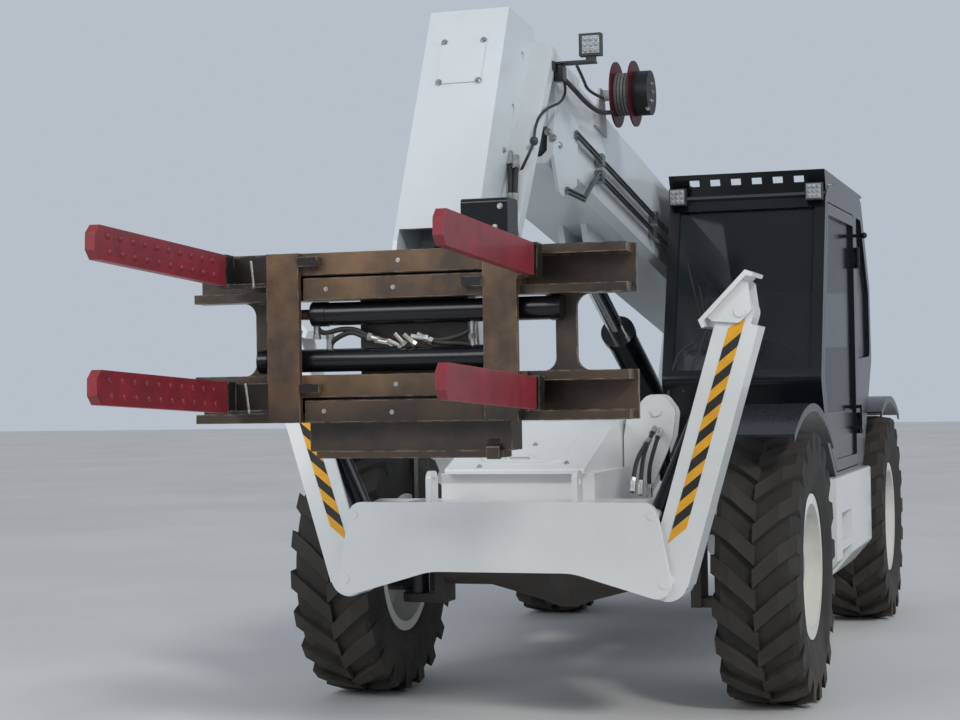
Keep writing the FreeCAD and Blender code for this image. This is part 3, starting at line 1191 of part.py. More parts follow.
def make_arms(side, out, carrier_y, arm_in, bar_low, bar_end, rod_z, stub_zs):
    """Carrier of one side with its sliding bars and rod, and two arms with their pads.

    out is the side's outward sign along Y and arm_in the inner face of its pads.
    """
    y0, y1 = carrier_y
    root_in = y0 if out < 0 else y1
    near = y1 if out < 0 else y0
    plate_x = CARRIER_X + CARRIER_T
    bar_x = GUIDE_FRONT_X + BAR_GAP
    parts = [box(CARRIER_X, plate_x, y0, y1, GUIDE_LOW_Z + 2, GUIDE_UP_Z + GUIDE_H - 2)]
    a, b = span(root_in, bar_end)
    for guide in (GUIDE_UP_Z, GUIDE_LOW_Z):
        low = guide + bar_low
        mid = guide + GUIDE_H / 2
        slot_half = GUIDE_H / 2 - GUIDE_LIP - SEAT
        t0, t1 = (mid + PIN_SIDE, mid + slot_half) if out < 0 else (mid - slot_half, mid - PIN_SIDE)
        parts.append(box(bar_x, CARRIER_X - BAR_GAP, a, b, low, low + BAR_H))
        parts.append(box(CARRIER_X - BAR_GAP, CARRIER_X, y0, y1, low, low + BAR_H))
        parts.append(box(GUIDE_BACK_X + GUIDE_T + 12, bar_x, a, b, t0, t1))
    for z in stub_zs:
        parts.append(box(CARRIER_X, plate_x + 8, *span(near, near - out * STUB_L), z - STUB_H / 2,
                         z + STUB_H / 2))
    lug_y = y0 + 40 if out < 0 else y1 - 60
    parts.append(box(CLAMP_BARREL_X - 30, CARRIER_X, lug_y, lug_y + 20, rod_z - 35, rod_z + 35))
    parts.append(pin_y(CLAMP_BARREL_X, *span(lug_y + 10, -out * 40), rod_z, CLAMP_ROD_R))

    arm_out = arm_in + out * ARM_T
    spar_y = span(arm_in + out * 3, arm_in + out * (3 + ARM_SPAR_T))
    pads = []
    for mid in ARM_ROWS_Z:
        hinge = V(CARRIER_X, 0, mid)
        half = ARM_SPAR_HALF_H
        spar = box(plate_x - 2, ARM_ROOT_X + 60, *spar_y, mid - half, mid + half)
        sleeve = box(plate_x - 2, ARM_ROOT_X - 12, *span(arm_in + out * 2, arm_out + out * 8),
                     mid - 62, mid + 62)
        pocket = box(ARM_ROOT_X - 1, ARM_ROOT_X + 60 + SEAT, spar_y[0] - SEAT, spar_y[1] + SEAT,
                     mid - half - SEAT, mid + half + SEAT)
        gusset = prism_xy([(plate_x - 1, root_in), (plate_x - 1, arm_in + out * 4),
                           (ARM_ROOT_X - 20, arm_in + out * 4)], mid - 60, mid - 46)
        parts.append(box(CARRIER_X, plate_x, *span(arm_out, root_in - out), mid - 56, mid + 56))
        parts += [gusset, turned(fuse(spar, sleeve), -ARM_TILT_DEG, hinge, AX_Y)]
        low = mid - ARM_H / 2
        top = mid + ARM_H / 2
        pad = prism_xz([(ARM_ROOT_X, low), (ARM_TIP_X - ARM_NOSE, low), (ARM_TIP_X, low + ARM_NOSE),
                        (ARM_TIP_X, top - ARM_NOSE), (ARM_TIP_X - ARM_NOSE, top), (ARM_ROOT_X, top)],
                       *span(arm_in, arm_out))
        pads.append(turned(pad.cut(pocket), -ARM_TILT_DEG, hinge, AX_Y))
    node("clamp_arms_" + side, fuse(*parts))
    node("clamp_pads_" + side, *pads)


# Cab, with outlines of (x, z, corner radius)
CAB_OUTLINE = [
    (450, CAB_FLOOR_Z), (760, 1190, 120), (930, 1500, 80), (640, 2455, 60), (520, 2520, 60), (300, 2545, 200),
    (-900, 2560, 90), (-1270, 2060, 120), (-1300, 1620, 80), (-820, 1060), (-740, CAB_FLOOR_Z)]
SIDE_WINDOW = [
    (842, 1560, 60), (585, 2410, 60), (-870, 2440, 80), (-1195, 2020, 80), (-1220, 1640, 60),
    (-1080, 1560, 60)]
QUARTER = [(-640, 1620, 30), (-640, 2440, 30), (-870, 2440, 80), (-1195, 2020, 80), (-1220, 1640, 60)]
DOOR_OUTLINE = [
    (400, 1010, 80), (735, 1225, 140), (868, 1510, 90), (590, 2430, 80), (-560, 2445, 80), (-560, 1010, 80)]


def ring_xz(points, y0, y1, inset, depth):
    """Wall of the given depth that lies inset inside an outline."""
    face = face_of(points, lambda a, b: V(a, y0, b))
    outer = face.makeOffset2D(-inset) if inset else face
    inner = face.makeOffset2D(-(inset + depth))
    return outer.extrude(V(0, y1 - y0, 0)).cut(inner.extrude(V(0, y1 - y0, 0)))


def cab_hinge(z):
    """Fixed half of a door hinge: a plate, two knuckles and the pin."""
    low = z - HINGE_HALF_H
    top = z + HINGE_HALF_H
    face = CAB_OUT_Y + 8
    back = HINGE_X - HINGE_R - PIN_SIDE
    parts = [pin_z(HINGE_X, HINGE_Y, low, top, HINGE_PIN_R),
             box(HINGE_X - HINGE_LEAF, back, CAB_OUT_Y - 1, face, low, top)]
    for start in (low, z + HINGE_HALF_H / 2):
        parts.append(pin_z(HINGE_X, HINGE_Y, start, start + HINGE_HALF_H / 2, HINGE_R))
        parts.append(box(back, HINGE_X, CAB_OUT_Y, face, start, start + HINGE_HALF_H / 2))
    return fuse(*parts)


def door_knuckle(z):
    """Moving half of a door hinge."""
    half = HINGE_HALF_H / 2 - 2
    return fuse(pin_z(HINGE_X, HINGE_Y, z - half, z + half, HINGE_R),
                box(HINGE_X, HINGE_X + HINGE_LEAF, CAB_OUT_Y - 1, CAB_OUT_Y + 8, z - half, z + half))


def make_cab():
    wall = ring_xz(CAB_OUTLINE, CAB_IN_Y, CAB_OUT_Y, 0, CAB_WALL)
    side = prism_xz(CAB_OUTLINE, CAB_IN_Y, CAB_IN_Y + CAB_WALL)
    other = prism_xz(CAB_OUTLINE, CAB_OUT_Y - CAB_WALL, CAB_OUT_Y)
    y0 = CAB_IN_Y + CAB_WALL + 10
    y1 = CAB_OUT_Y - CAB_WALL - 10
    openings = [
        # windscreen, rear window and skylight
        box(590, 1000, y0, y1, 1560, 2400),
        box(-1400, -1100, y0, y1, 1700, 2030),
        box(-700, 200, y0, y1, 2500, 2600),
    ]
    cuts = [prism_xz(SIDE_WINDOW, CAB_IN_Y - 1, CAB_IN_Y + CAB_WALL + 1),
            prism_xz(QUARTER, CAB_OUT_Y - CAB_WALL - 1, CAB_OUT_Y + 1),
            prism_xz(DOOR_OUTLINE, CAB_OUT_Y - CAB_WALL - 1, CAB_OUT_Y + 1)]
    shell = cut_all(fuse(wall, side, other), openings + cuts)
    ball = V(-605, CAB_OUT_Y + 50, 2332)
    peg = fuse(rod(V(-625, CAB_OUT_Y - 5, 2333), ball, 10), Part.makeSphere(18, ball))
    node("cab_shell", fuse(shell, peg, *[cab_hinge(z) for z in HINGE_ZS]))

    pane = ring_xz(CAB_OUTLINE, y0, y1, (CAB_WALL - GLASS_T) / 2, GLASS_T)
    panes = [pane.common(hole) for hole in openings]
    for pts, y in ((SIDE_WINDOW, CAB_IN_Y + CAB_WALL / 2), (QUARTER, CAB_OUT_Y - CAB_WALL / 2)):
        panes.append(prism_xz(pts, y - GLASS_T / 2, y + GLASS_T / 2))
    node("cab_glass", *panes)


def make_door():
    """Framed leaf with a pane above the sill and a sunk panel below it, and its handle."""
    out = V(0, CAB_WALL, 0)
    face = face_of(DOOR_OUTLINE, lambda a, b: V(a, CAB_OUT_Y - CAB_WALL, b))
    inside = face.makeOffset2D(-DOOR_GAP - DOOR_RAIL).extrude(out)
    below = box(-WHEELBASE, WHEELBASE, 0, BOX_OUT_Y, 0, DOOR_SILL_Z)
    pane = inside.cut(below)
    sunk = moved(inside.common(below), 0, CAB_WALL - 15, 0)
    leaf = face.makeOffset2D(-DOOR_GAP).extrude(out).cut(pane).cut(sunk)
    bores = [pin_z(HINGE_X, HINGE_Y, z - HINGE_HALF_H, z + HINGE_HALF_H, HINGE_PIN_R + RUN_FIT)
             for z in HINGE_ZS]
    grip_z = (1225.0, 1345.0)
    handle = [box(-490, -468, CAB_OUT_Y + 24, CAB_OUT_Y + 36, *grip_z)]
    for z in grip_z:
        handle.append(box(-494, -464, CAB_OUT_Y - 1, CAB_OUT_Y + 36, z - 10, z + 10))
    node("door", cut_all(fuse(leaf, *handle, *[door_knuckle(z) for z in HINGE_ZS]), bores))
    mid = CAB_OUT_Y - CAB_WALL / 2
    node("door_glass", pane.common(box(-WHEELBASE, WHEELBASE, mid - GLASS_T / 2, mid + GLASS_T / 2,
                                       0, 2 * CAB_OUT_Y + 1000)))


def make_visor():
    """Slotted sheet over the windscreen with cheeks along the roof, and a lamp at each corner."""
    top = (668, 2592)
    low = (616, 2482)
    sheet = prism_xz([top, (top[0] - VISOR_T, top[1]), (low[0] - VISOR_T, low[1]), low], CAB_IN_Y, CAB_OUT_Y)
    pitch = (CAB_OUT_Y - CAB_IN_Y - 160) / VISOR_SLOTS
    slots = []
    for i in range(VISOR_SLOTS):
        y = CAB_IN_Y + 80 + pitch * (i + 0.5)
        slots.append(box(low[0], top[0], y - VISOR_SLOT_L / 2, y + VISOR_SLOT_L / 2, 2532, 2564))
    cheek = prism_xz([
        top, low, (low[0] - VISOR_T, low[1]), (560, 2512), (500, 2530), (300, 2545 + SEAT),
        (-840, 2559.25 + SEAT), (-900, 2575), (-940, 2590)], CAB_IN_Y, CAB_IN_Y + VISOR_T)
    bar = box(-940, -900, CAB_IN_Y, CAB_OUT_Y, 2578, 2590)
    other = moved(cheek, 0, CAB_OUT_Y - CAB_IN_Y - VISOR_T, 0)
    node("visor", fuse(cut_all(sheet, slots), cheek, other, bar))
    lamps = []
    for y in (CAB_IN_Y + 52, CAB_OUT_Y - 52):
        lamps.append(fuse(box(662, 662 + LAMP_T, y - 44, y + 44, 2432, 2520),
                          box(low[0] + 6, 663, y - 12, y + 12, low[1] + 2, low[1] + 12)))
    node("cab_lamps", *lamps)


def make_cab_fittings():
    floor_z = CAB_FLOOR_Z + CAB_WALL + SEAT
    cushion = prism_xz([(-700, SEAT_Z), (-250, SEAT_Z), (-230, SEAT_Z + 60, 30), (-280, SEAT_Z + SEAT_T, 30),
                        (-660, SEAT_Z + SEAT_T - 20)], 480, 940)
    back = prism_xz([(-660, SEAT_Z + SEAT_T - 20 + SEAT), (-560, SEAT_Z + SEAT_T + 60, 60), (-660, 2030, 40),
                     (-750, 2030, 30), (-730, SEAT_Z + SEAT_T + 60)], 500, 920)
    node("seat", cushion, back)
    pedestal = box(-680, -320, 560, 860, floor_z, SEAT_Z - SEAT)
    console = prism_xz([(330, floor_z), (415, floor_z), (640, 1440, 40), (640, 1530, 30), (430, 1530, 30)],
                       520, 900)
    hub = V(290, 710, 1640)
    column = rod(hub, V(450, 710, 1470), 24)
    ring = Part.makeCylinder(STEERING_R, 22, V(0, 0, -11)).cut(
        Part.makeCylinder(STEERING_R - 22, 24, V(0, 0, -12)))
    spoke = STEERING_R - 10
    spokes = [box(-spoke, spoke, -16, 16, -7, 7), box(-16, 16, -spoke, 0, -7, 7)]
    wheel = turned(fuse(ring, *spokes), -STEERING_DEG, ORIGIN, AX_Y)
    node("cab_fittings", pedestal, fuse(moved(wheel, hub.x, hub.y, hub.z), column, console))


def main():
    os.makedirs("parts", exist_ok=True)
    for step in (make_running_gear, make_frame, make_tail, make_pods, make_front, make_hood, make_tower,
                 make_stabilisers, make_boom, make_lift_cylinders, make_reel, make_pipes, make_head,
                 make_clamp, make_carriage, make_cab, make_door, make_visor, make_cab_fittings):
        step()
    box_all = FreeCAD.BoundBox()
    for shapes in NODES.values():
        for shape in shapes:
            box_all.add(shape.BoundBox)
    shift = V(-box_all.Center.x, 0, -box_all.ZMin)
    print("origin moved by", round(shift.x, 3), round(shift.z, 4), "width centre", round(box_all.Center.y, 3))
    for name, shapes in NODES.items():
        solids = []
        for shape in shapes:
            solids += shape.Solids
        whole = solids[0] if len(solids) == 1 else Part.makeCompound(solids)
        whole.translate(shift)
        if not whole.isValid():
            print("not valid:", name)
        whole.exportStep("parts/" + name + ".step")
        size = whole.BoundBox
        print(name, len(solids), round(whole.Volume / 1e9, 4), "m3",
              [round(v) for v in (size.XMin, size.XMax, size.YMin, size.YMax, size.ZMin, size.ZMax)])
    print(len(NODES), "nodes", [round(v, 1) for v in (box_all.XLength, box_all.YLength, box_all.ZLength)])


main()
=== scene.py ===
# %% [markdown]
# A telehandler with a four-arm sliding bale clamp. The machine itself comes from a CAD model that
# was packed as a fixed frame. This script gives its nodes paint, rubber and glass, and adds the
# trim that such a model leaves out. Lengths are metres, +X points forward, +Y to the machine's
# left and +Z up.

# %% Frame
import bmesh
import bpy
import json
from math import cos, pi, radians, sin
from mathutils import Matrix, Vector
from mathutils.bvhtree import BVHTree


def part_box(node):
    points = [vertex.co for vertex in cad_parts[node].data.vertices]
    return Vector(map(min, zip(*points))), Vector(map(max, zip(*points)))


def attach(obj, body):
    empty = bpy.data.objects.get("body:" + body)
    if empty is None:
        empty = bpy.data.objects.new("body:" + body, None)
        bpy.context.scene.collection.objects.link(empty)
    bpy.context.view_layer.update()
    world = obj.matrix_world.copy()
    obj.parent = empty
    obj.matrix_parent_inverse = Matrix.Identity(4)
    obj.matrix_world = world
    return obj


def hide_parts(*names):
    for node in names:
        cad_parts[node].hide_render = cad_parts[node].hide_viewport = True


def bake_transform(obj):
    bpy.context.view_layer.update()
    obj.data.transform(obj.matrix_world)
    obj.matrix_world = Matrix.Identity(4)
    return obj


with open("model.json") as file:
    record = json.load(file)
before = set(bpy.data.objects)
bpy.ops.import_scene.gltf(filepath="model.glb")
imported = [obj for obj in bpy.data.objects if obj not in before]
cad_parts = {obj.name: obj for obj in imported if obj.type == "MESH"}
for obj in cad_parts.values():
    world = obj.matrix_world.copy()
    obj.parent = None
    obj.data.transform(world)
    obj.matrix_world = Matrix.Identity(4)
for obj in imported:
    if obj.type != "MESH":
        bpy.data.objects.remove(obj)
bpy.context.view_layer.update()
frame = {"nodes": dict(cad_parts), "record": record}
nodes = frame["nodes"]
body_of = {node: body for body, members in frame["record"]["behaviour"]["bodies"].items()
           for node in members}


def show(thing):
    bpy.context.scene.collection.objects.link(thing)


# %% [markdown]
# The camera stands where the photograph was taken from: ahead of the machine, to its left, at eye
# height. It could be moved by hand until the picture looks right. Here it was fitted to the wheels
# and plates of the photograph, so that a pixel there and a pixel of the render are one sight line.

# %% Camera
IMAGE_W, IMAGE_H = 960.0, 720.0
FOCAL_PX = 1939.4
SENSOR_W = 36.0
MID_AXLES_X = -1.107571
CAM_AT = Vector((10.748 + MID_AXLES_X, 2.471, 1.494))
YAW, PITCH, ROLL = radians(17.805), radians(0.791), radians(-0.983)

FORWARD = Vector((-cos(YAW) * cos(PITCH), -sin(YAW) * cos(PITCH), sin(PITCH)))
LEVEL_RIGHT = FORWARD.cross(Vector((0, 0, 1))).normalized()
LEVEL_UP = LEVEL_RIGHT.cross(FORWARD)
RIGHT = cos(ROLL) * LEVEL_RIGHT + sin(ROLL) * LEVEL_UP
UP = -sin(ROLL) * LEVEL_RIGHT + cos(ROLL) * LEVEL_UP


def make_camera():
    data = bpy.data.cameras.new("camera")
    data.sensor_width = SENSOR_W
    data.lens = FOCAL_PX * SENSOR_W / IMAGE_W
    camera = bpy.data.objects.new("camera", data)
    show(camera)
    pose = Matrix.Identity(4)
    for i in range(3):
        pose[i][0], pose[i][1], pose[i][2], pose[i][3] = RIGHT[i], UP[i], -FORWARD[i], CAM_AT[i]
    camera.matrix_world = pose
    bpy.context.scene.camera = camera
    print("camera at", tuple(CAM_AT), "with", round(data.lens, 1), "mm lens")


make_camera()

# %% [markdown]
# Trim has to land where the photograph shows it. A pixel gives only a direction, so the flat plane
# that the piece lies in, square to X or to Y, is the second fact. The sight line meets that plane
# in one point.

# %% Sight lines
def sight(px, py):
    """Direction from the camera through a pixel of the picture."""
    return FORWARD + RIGHT * ((px - IMAGE_W / 2) / FOCAL_PX) - UP * ((py - IMAGE_H / 2) / FOCAL_PX)


def on_plane(px, py, through, normal):
    ray = sight(px, py)
    return CAM_AT + ray * ((through - CAM_AT).dot(normal) / ray.dot(normal))


def at_x(px, py, x):
    return on_plane(px, py, Vector((x, 0, 0)), Vector((1, 0, 0)))


def at_y(px, py, y):
    return on_plane(px, py, Vector((0, y, 0)), Vector((0, 1, 0)))


# %% [markdown]
# The picture was taken outdoors under a low, slightly warm sun from the front left, so one sun
# lamp gives the light and the shadows. Gloss paint looks dull with nothing to reflect, so two
# large area lamps stand for the bright surroundings, the one at the side a little bluer.

# %% Lamps
SUN_ANGLE = radians(9)
WARM, PLAIN, BLUISH = (1.0, 0.95, 0.88), (1.0, 1.0, 1.0), (0.9, 0.95, 1.0)


def aim(name, data, place, target):
    lamp = bpy.data.objects.new(name, data)
    lamp.location = place
    lamp.rotation_euler = (Vector(target) - Vector(place)).to_track_quat("-Z", "Y").to_euler()
    show(lamp)
    print(name, "at", place, "energy", round(data.energy, 2))


def add_sun(name, strength, colour, place, target):
    data = bpy.data.lights.new(name, "SUN")
    data.energy, data.color, data.angle = strength, colour, SUN_ANGLE
    aim(name, data, place, target)


def add_panel(name, watts, colour, size, place, target):
    data = bpy.data.lights.new(name, "AREA")
    data.energy, data.color, data.shape = watts, colour, "RECTANGLE"
    data.size, data.size_y = size
    aim(name, data, place, target)


add_sun("sun", 1.15, WARM, place=(9, 7, 9), target=(0, 0, 1))
add_panel("front_panel", 400, PLAIN, size=(7, 4), place=(10, -5, 6.5), target=(1, 0, 1.2))
add_panel("side_panel", 260, BLUISH, size=(8, 4), place=(2, 10, 6), target=(0, 0, 1.4))

# %% [markdown]
# A plain pale sky lights what is in shade. A sky picture would put somebody else's surroundings
# into the paint. The backdrop looks brighter than the light it gives: the Light Path node adds to
# the strength only for rays that come straight from the camera.

# %% Sky
SKY_COLOUR = (0.74, 0.82, 0.92, 1)
SKY_ON_SURFACES, SKY_MORE_IN_VIEW = 0.50, 0.14


def make_sky():
    world = bpy.data.worlds.new("world")
    world.use_nodes = True
    tree = world.node_tree
    sky = tree.nodes["Background"]
    sky.inputs["Color"].default_value = SKY_COLOUR
    strength = tree.nodes.new("ShaderNodeMath")
    strength.operation = "MULTIPLY_ADD"
    strength.inputs[1].default_value = SKY_MORE_IN_VIEW
    strength.inputs[2].default_value = SKY_ON_SURFACES
    in_view = tree.nodes.new("ShaderNodeLightPath").outputs["Is Camera Ray"]
    tree.links.new(in_view, strength.inputs[0])
    tree.links.new(strength.outputs[0], sky.inputs["Strength"])
    bpy.context.scene.world = world


make_sky()
bpy.context.scene.view_settings.view_transform = "Standard"
print("sky", SKY_ON_SURFACES, "on surfaces and", SKY_ON_SURFACES + SKY_MORE_IN_VIEW, "in view")

# %% [markdown]
# Every finish is worked out by a small net of nodes instead of a picture, so it is sharp at any
# distance and needs no unwrapping. The nets read object coordinates, which are the machine's own
# metres here, because every object is at the origin. These helpers keep the nets short to write.

# %% Shader helpers
MIX_SHARE, MIX_FIRST, MIX_SECOND, MIX_RESULT = 0, 6, 7, 2  # the Mix node's colour sockets


def new_node(tree, kind, **sockets):
    """Node with values on its named sockets; an underscore stands for a space."""
    made = tree.nodes.new(kind)
    for name, value in sockets.items():
        made.inputs[name.replace("_", " ")].default_value = value
    return made


def place_in_object(tree):
    return tree.nodes.new("ShaderNodeTexCoord").outputs["Object"]


def axis_in_object(tree, axis):
    split = tree.nodes.new("ShaderNodeSeparateXYZ")
    tree.links.new(place_in_object(tree), split.inputs[0])
    return split.outputs[axis]


def noise(tree, scale, detail, **sockets):
    made = new_node(tree, "ShaderNodeTexNoise", Scale=scale, Detail=detail, **sockets)
    tree.links.new(place_in_object(tree), made.inputs["Vector"])
    return made.outputs["Fac"]


def ranged(tree, value, start, full, least=0.0, most=1.0):
    """Runs from least, where the value is start, to most, where it is full."""
    made = new_node(tree, "ShaderNodeMapRange", From_Min=start, From_Max=full, To_Min=least,
                    To_Max=most)
    tree.links.new(value, made.inputs["Value"])
    return made.outputs["Result"]


def times(tree, first, second):
    """Product of an output with another output or with a plain number."""
    made = tree.nodes.new("ShaderNodeMath")
    made.operation = "MULTIPLY"
    tree.links.new(first, made.inputs[0])
    if isinstance(second, float):
        made.inputs[1].default_value = second
    else:
        tree.links.new(second, made.inputs[1])
    return made.outputs[0]


def shader_of(mat):
    return mat.node_tree.nodes["Principled BSDF"]


def lay_over(mat, share, colour):
    """Covers a material's base colour with another one, as far as the share says."""
    tree = mat.node_tree
    base = shader_of(mat).inputs["Base Color"]
    mix = tree.nodes.new("ShaderNodeMix")
    mix.data_type = "RGBA"
    mix.inputs[MIX_SECOND].default_value = (*colour, 1)
    tree.links.new(share, mix.inputs[MIX_SHARE])
    tree.links.new(base.links[0].from_socket, mix.inputs[MIX_FIRST])
    tree.links.new(mix.outputs[MIX_RESULT], base)


# %% [markdown]
# Paint, castings and rubber have three things in common: a slow drift of tone, a fine grain that
# breaks up the shine, and dust that gets thicker towards the ground. One function makes all three.
# A slow noise goes through a colour ramp between two tones, and a fine noise moves the roughness
# and a bump.

# %% Finish maker
COAT_ROUGHNESS = 0.12
TONE_LOW, TONE_HIGH = 0.38, 0.66
DRIFT_DETAIL, DRIFT_ROUGHNESS, GRAIN_DETAIL = 5.0, 0.6, 3.0
SPOTS_LOW, SPOTS_HIGH = 0.35, 0.60
SHINIER, DULLER = 0.07, 0.09
GRAIN_DEPTH = 0.002


def material(name, colour, second, rough, metal=0.0, coat=0.0, patch=1.6, grain=90.0, bump=0.12,
             dust=None, **sockets):
    """Finish between two tones. dust is its colour, the height it reaches and its most cover."""
    mat = bpy.data.materials.new(name)
    mat.use_nodes = True
    tree, shader = mat.node_tree, shader_of(mat)
    sockets.update(Metallic=metal, Coat_Weight=coat, Coat_Roughness=COAT_ROUGHNESS)
    for socket, value in sockets.items():
        shader.inputs[socket.replace("_", " ")].default_value = value
    drift = noise(tree, patch, DRIFT_DETAIL, Roughness=DRIFT_ROUGHNESS)
    fine = noise(tree, grain, GRAIN_DETAIL)
    tones = tree.nodes.new("ShaderNodeValToRGB")
    stops = tones.color_ramp.elements
    stops[0].position, stops[0].color = TONE_LOW, (*second, 1)
    stops[1].position, stops[1].color = TONE_HIGH, (*colour, 1)
    tree.links.new(drift, tones.inputs["Fac"])
    tree.links.new(tones.outputs["Color"], shader.inputs["Base Color"])
    if dust:
        dust_colour, reach, most = dust
        low_down = ranged(tree, axis_in_object(tree, "Z"), reach, 0.0, most=most)
        spots = ranged(tree, drift, SPOTS_LOW, SPOTS_HIGH)
        lay_over(mat, times(tree, low_down, spots), dust_colour)
    shine = ranged(tree, fine, 0.0, 1.0, rough - SHINIER, rough + DULLER)
    tree.links.new(shine, shader.inputs["Roughness"])
    relief = new_node(tree, "ShaderNodeBump", Strength=bump, Distance=GRAIN_DEPTH)
    tree.links.new(fine, relief.inputs["Height"])
    tree.links.new(relief.outputs["Normal"], shader.inputs["Normal"])
    print("finish", name)
    return mat


# %% [markdown]
# The chassis, the stabilisers and the rims are glossy white, the boom a cooler light grey. The
# shader's coat gives sprayed enamel its clear top layer, and road dust lies on what is near the
# ground.

# %% Light paint
ROAD_DUST = (0.40, 0.36, 0.31)
white = material("white_paint", (0.78, 0.80, 0.80), (0.70, 0.72, 0.72), rough=0.30, coat=0.5,
                 dust=(ROAD_DUST, 1.0, 0.30))
boom_grey = material("boom_paint", (0.62, 0.66, 0.68), (0.55, 0.59, 0.61), rough=0.33, coat=0.35,
                     patch=0.9)
rim_paint = material("rim_paint", (0.80, 0.80, 0.78), (0.66, 0.65, 0.61), rough=0.38, coat=0.3,
                     patch=6.0, dust=(ROAD_DUST, 0.9, 0.5))

# %% [markdown]
# The cab, cylinders and mudguards are black, the axles are black castings and the engine is bare
# iron. A full coat or the usual reflectivity would turn black grey in this bright light, so both
# are lowered. The castings get a coarse bump instead of a shine.

# %% Black and iron
gloss_black = material("gloss_black", (0.009, 0.010, 0.013), (0.006, 0.006, 0.008), rough=0.20,
                       coat=0.12, patch=2.0, bump=0.04, Specular_IOR_Level=0.32)
guard_black = material("guard_black", (0.010, 0.012, 0.020), (0.016, 0.016, 0.020), rough=0.26,
                       coat=0.12, patch=3.0, bump=0.06, dust=((0.14, 0.12, 0.10), 0.75, 0.25),
                       Specular_IOR_Level=0.35)
cast_black = material("cast_black", (0.030, 0.030, 0.033), (0.060, 0.052, 0.044), rough=0.6,
                      patch=7.0, grain=140.0, bump=0.4, dust=((0.20, 0.17, 0.14), 0.8, 0.6))
iron = material("cast_iron", (0.13, 0.13, 0.13), (0.08, 0.075, 0.07), rough=0.62, metal=0.5,
                patch=8.0, bump=0.5)

# %% [markdown]
# Bare metal shows as hard chrome on the cylinder rods, zinc plating on screws and hose ends,
# darker plated steel on the boom's pipes, and fresh weld. They are metallic, so their colour is
# that of what they reflect. Weld is only partly so, because of its scale.

# %% Bare metal
chrome = material("chrome", (0.82, 0.83, 0.84), (0.72, 0.73, 0.75), rough=0.14, metal=1.0,
                  patch=12.0, bump=0.03)
zinc = material("zinc", (0.60, 0.60, 0.58), (0.44, 0.43, 0.40), rough=0.32, metal=1.0, patch=30.0,
                grain=300.0, bump=0.1)
pipe_steel = material("pipe_steel", (0.26, 0.28, 0.28), (0.17, 0.18, 0.18), rough=0.30, metal=1.0,
                      patch=10.0, grain=200.0, bump=0.1)
weld = material("weld", (0.44, 0.42, 0.38), (0.30, 0.28, 0.25), rough=0.4, metal=0.6, patch=60.0,
                grain=400.0, bump=0.5)

# %% [markdown]
# Hoses, seals and moulded covers are dull and nearly black. What tells them apart is their grain:
# a hose has a fine woven look, a moulded cover a leather-like one, and a seal is smooth and soft.

# %% Rubber and plastic
hose_black = material("hose_rubber", (0.014, 0.014, 0.015), (0.028, 0.027, 0.026), rough=0.55,
                      patch=14.0, grain=420.0, bump=0.35)
moulded = material("moulded_plastic", (0.028, 0.028, 0.030), (0.040, 0.040, 0.042), rough=0.52,
                   patch=5.0, grain=260.0, bump=0.3)
seal = material("seal_rubber", (0.010, 0.010, 0.011), (0.018, 0.018, 0.019), rough=0.7,
                patch=20.0, grain=300.0, bump=0.2)

# %% [markdown]
# The warning bands are yellow and black film, and the lamps clear or red plastic. The cab's panes
# are tinted: refracting glass would be noisy and slow, and a half transparent dark surface looks
# the same from outside. The seat's cloth has a sheen, the soft rim of loose fibres.

# %% Film, lamps, glass and cloth
band_yellow = material("band_yellow", (0.85, 0.42, 0.012), (0.74, 0.35, 0.012), rough=0.4,
                       coat=0.2, patch=16.0)
band_black = material("band_black", (0.014, 0.014, 0.014), (0.024, 0.023, 0.022), rough=0.42,
                      patch=16.0)
lens_clear = material("lens_clear", (0.42, 0.44, 0.46), (0.26, 0.28, 0.30), rough=0.12, coat=0.4,
                      patch=40.0, grain=200.0, bump=0.4)
lamp_red = material("lamp_red", (0.42, 0.012, 0.010), (0.30, 0.008, 0.008), rough=0.16, coat=0.7,
                    patch=25.0, grain=120.0, bump=0.5)
glass = material("glass", (0.020, 0.028, 0.032), (0.014, 0.021, 0.025), rough=0.10, patch=0.8,
                 grain=6.0, bump=0.01, Alpha=0.5)
cloth = material("seat_cloth", (0.045, 0.047, 0.055), (0.030, 0.031, 0.036), rough=0.86,
                 patch=18.0, grain=520.0, bump=0.6, Sheen_Weight=0.35)

# %% [markdown]
# The hose reel is one node but has four finishes: a grey bracket, two red discs, the grey hose
# wound between them and a black motor. They follow one another along Y, so a colour ramp with
# sharp steps does it, with no need to cut the mesh.

# %% Reel paint
REEL_START, REEL_END = 0.20, 0.50
REEL_BANDS = (
    # where the colour starts along Y, the colour
    (0.2000, (0.420, 0.430, 0.430)),
    (0.3000, (0.075, 0.006, 0.011)),
    (0.3085, (0.160, 0.160, 0.160)),
    # The second disc is darker than the first: painted shade, the two discs are one red.
    (0.3855, (0.060, 0.006, 0.010)),
    (0.3945, (0.012, 0.012, 0.013)),
)


def colour_bands(mat, axis, start, end, bands):
    """Sharp bands of colour between two places along an axis."""
    tree = mat.node_tree
    ramp = tree.nodes.new("ShaderNodeValToRGB")
    ramp.color_ramp.interpolation = "CONSTANT"
    stops = ramp.color_ramp.elements  # a new ramp has two
    for i, (place, colour) in enumerate(bands):
        at = (place - start) / (end - start)
        stop = stops[i] if i < 2 else stops.new(at)
        stop.position, stop.color = at, (*colour, 1)
    tree.links.new(ranged(tree, axis_in_object(tree, axis), start, end), ramp.inputs["Fac"])
    tree.links.new(ramp.outputs["Color"], shader_of(mat).inputs["Base Color"])


BRACKET_GREY = REEL_BANDS[0][1]
reel_paint = material("reel_paint", BRACKET_GREY, BRACKET_GREY, rough=0.42, grain=200.0,
                      Specular_IOR_Level=0.25)
colour_bands(reel_paint, "Y", REEL_START, REEL_END, REEL_BANDS)

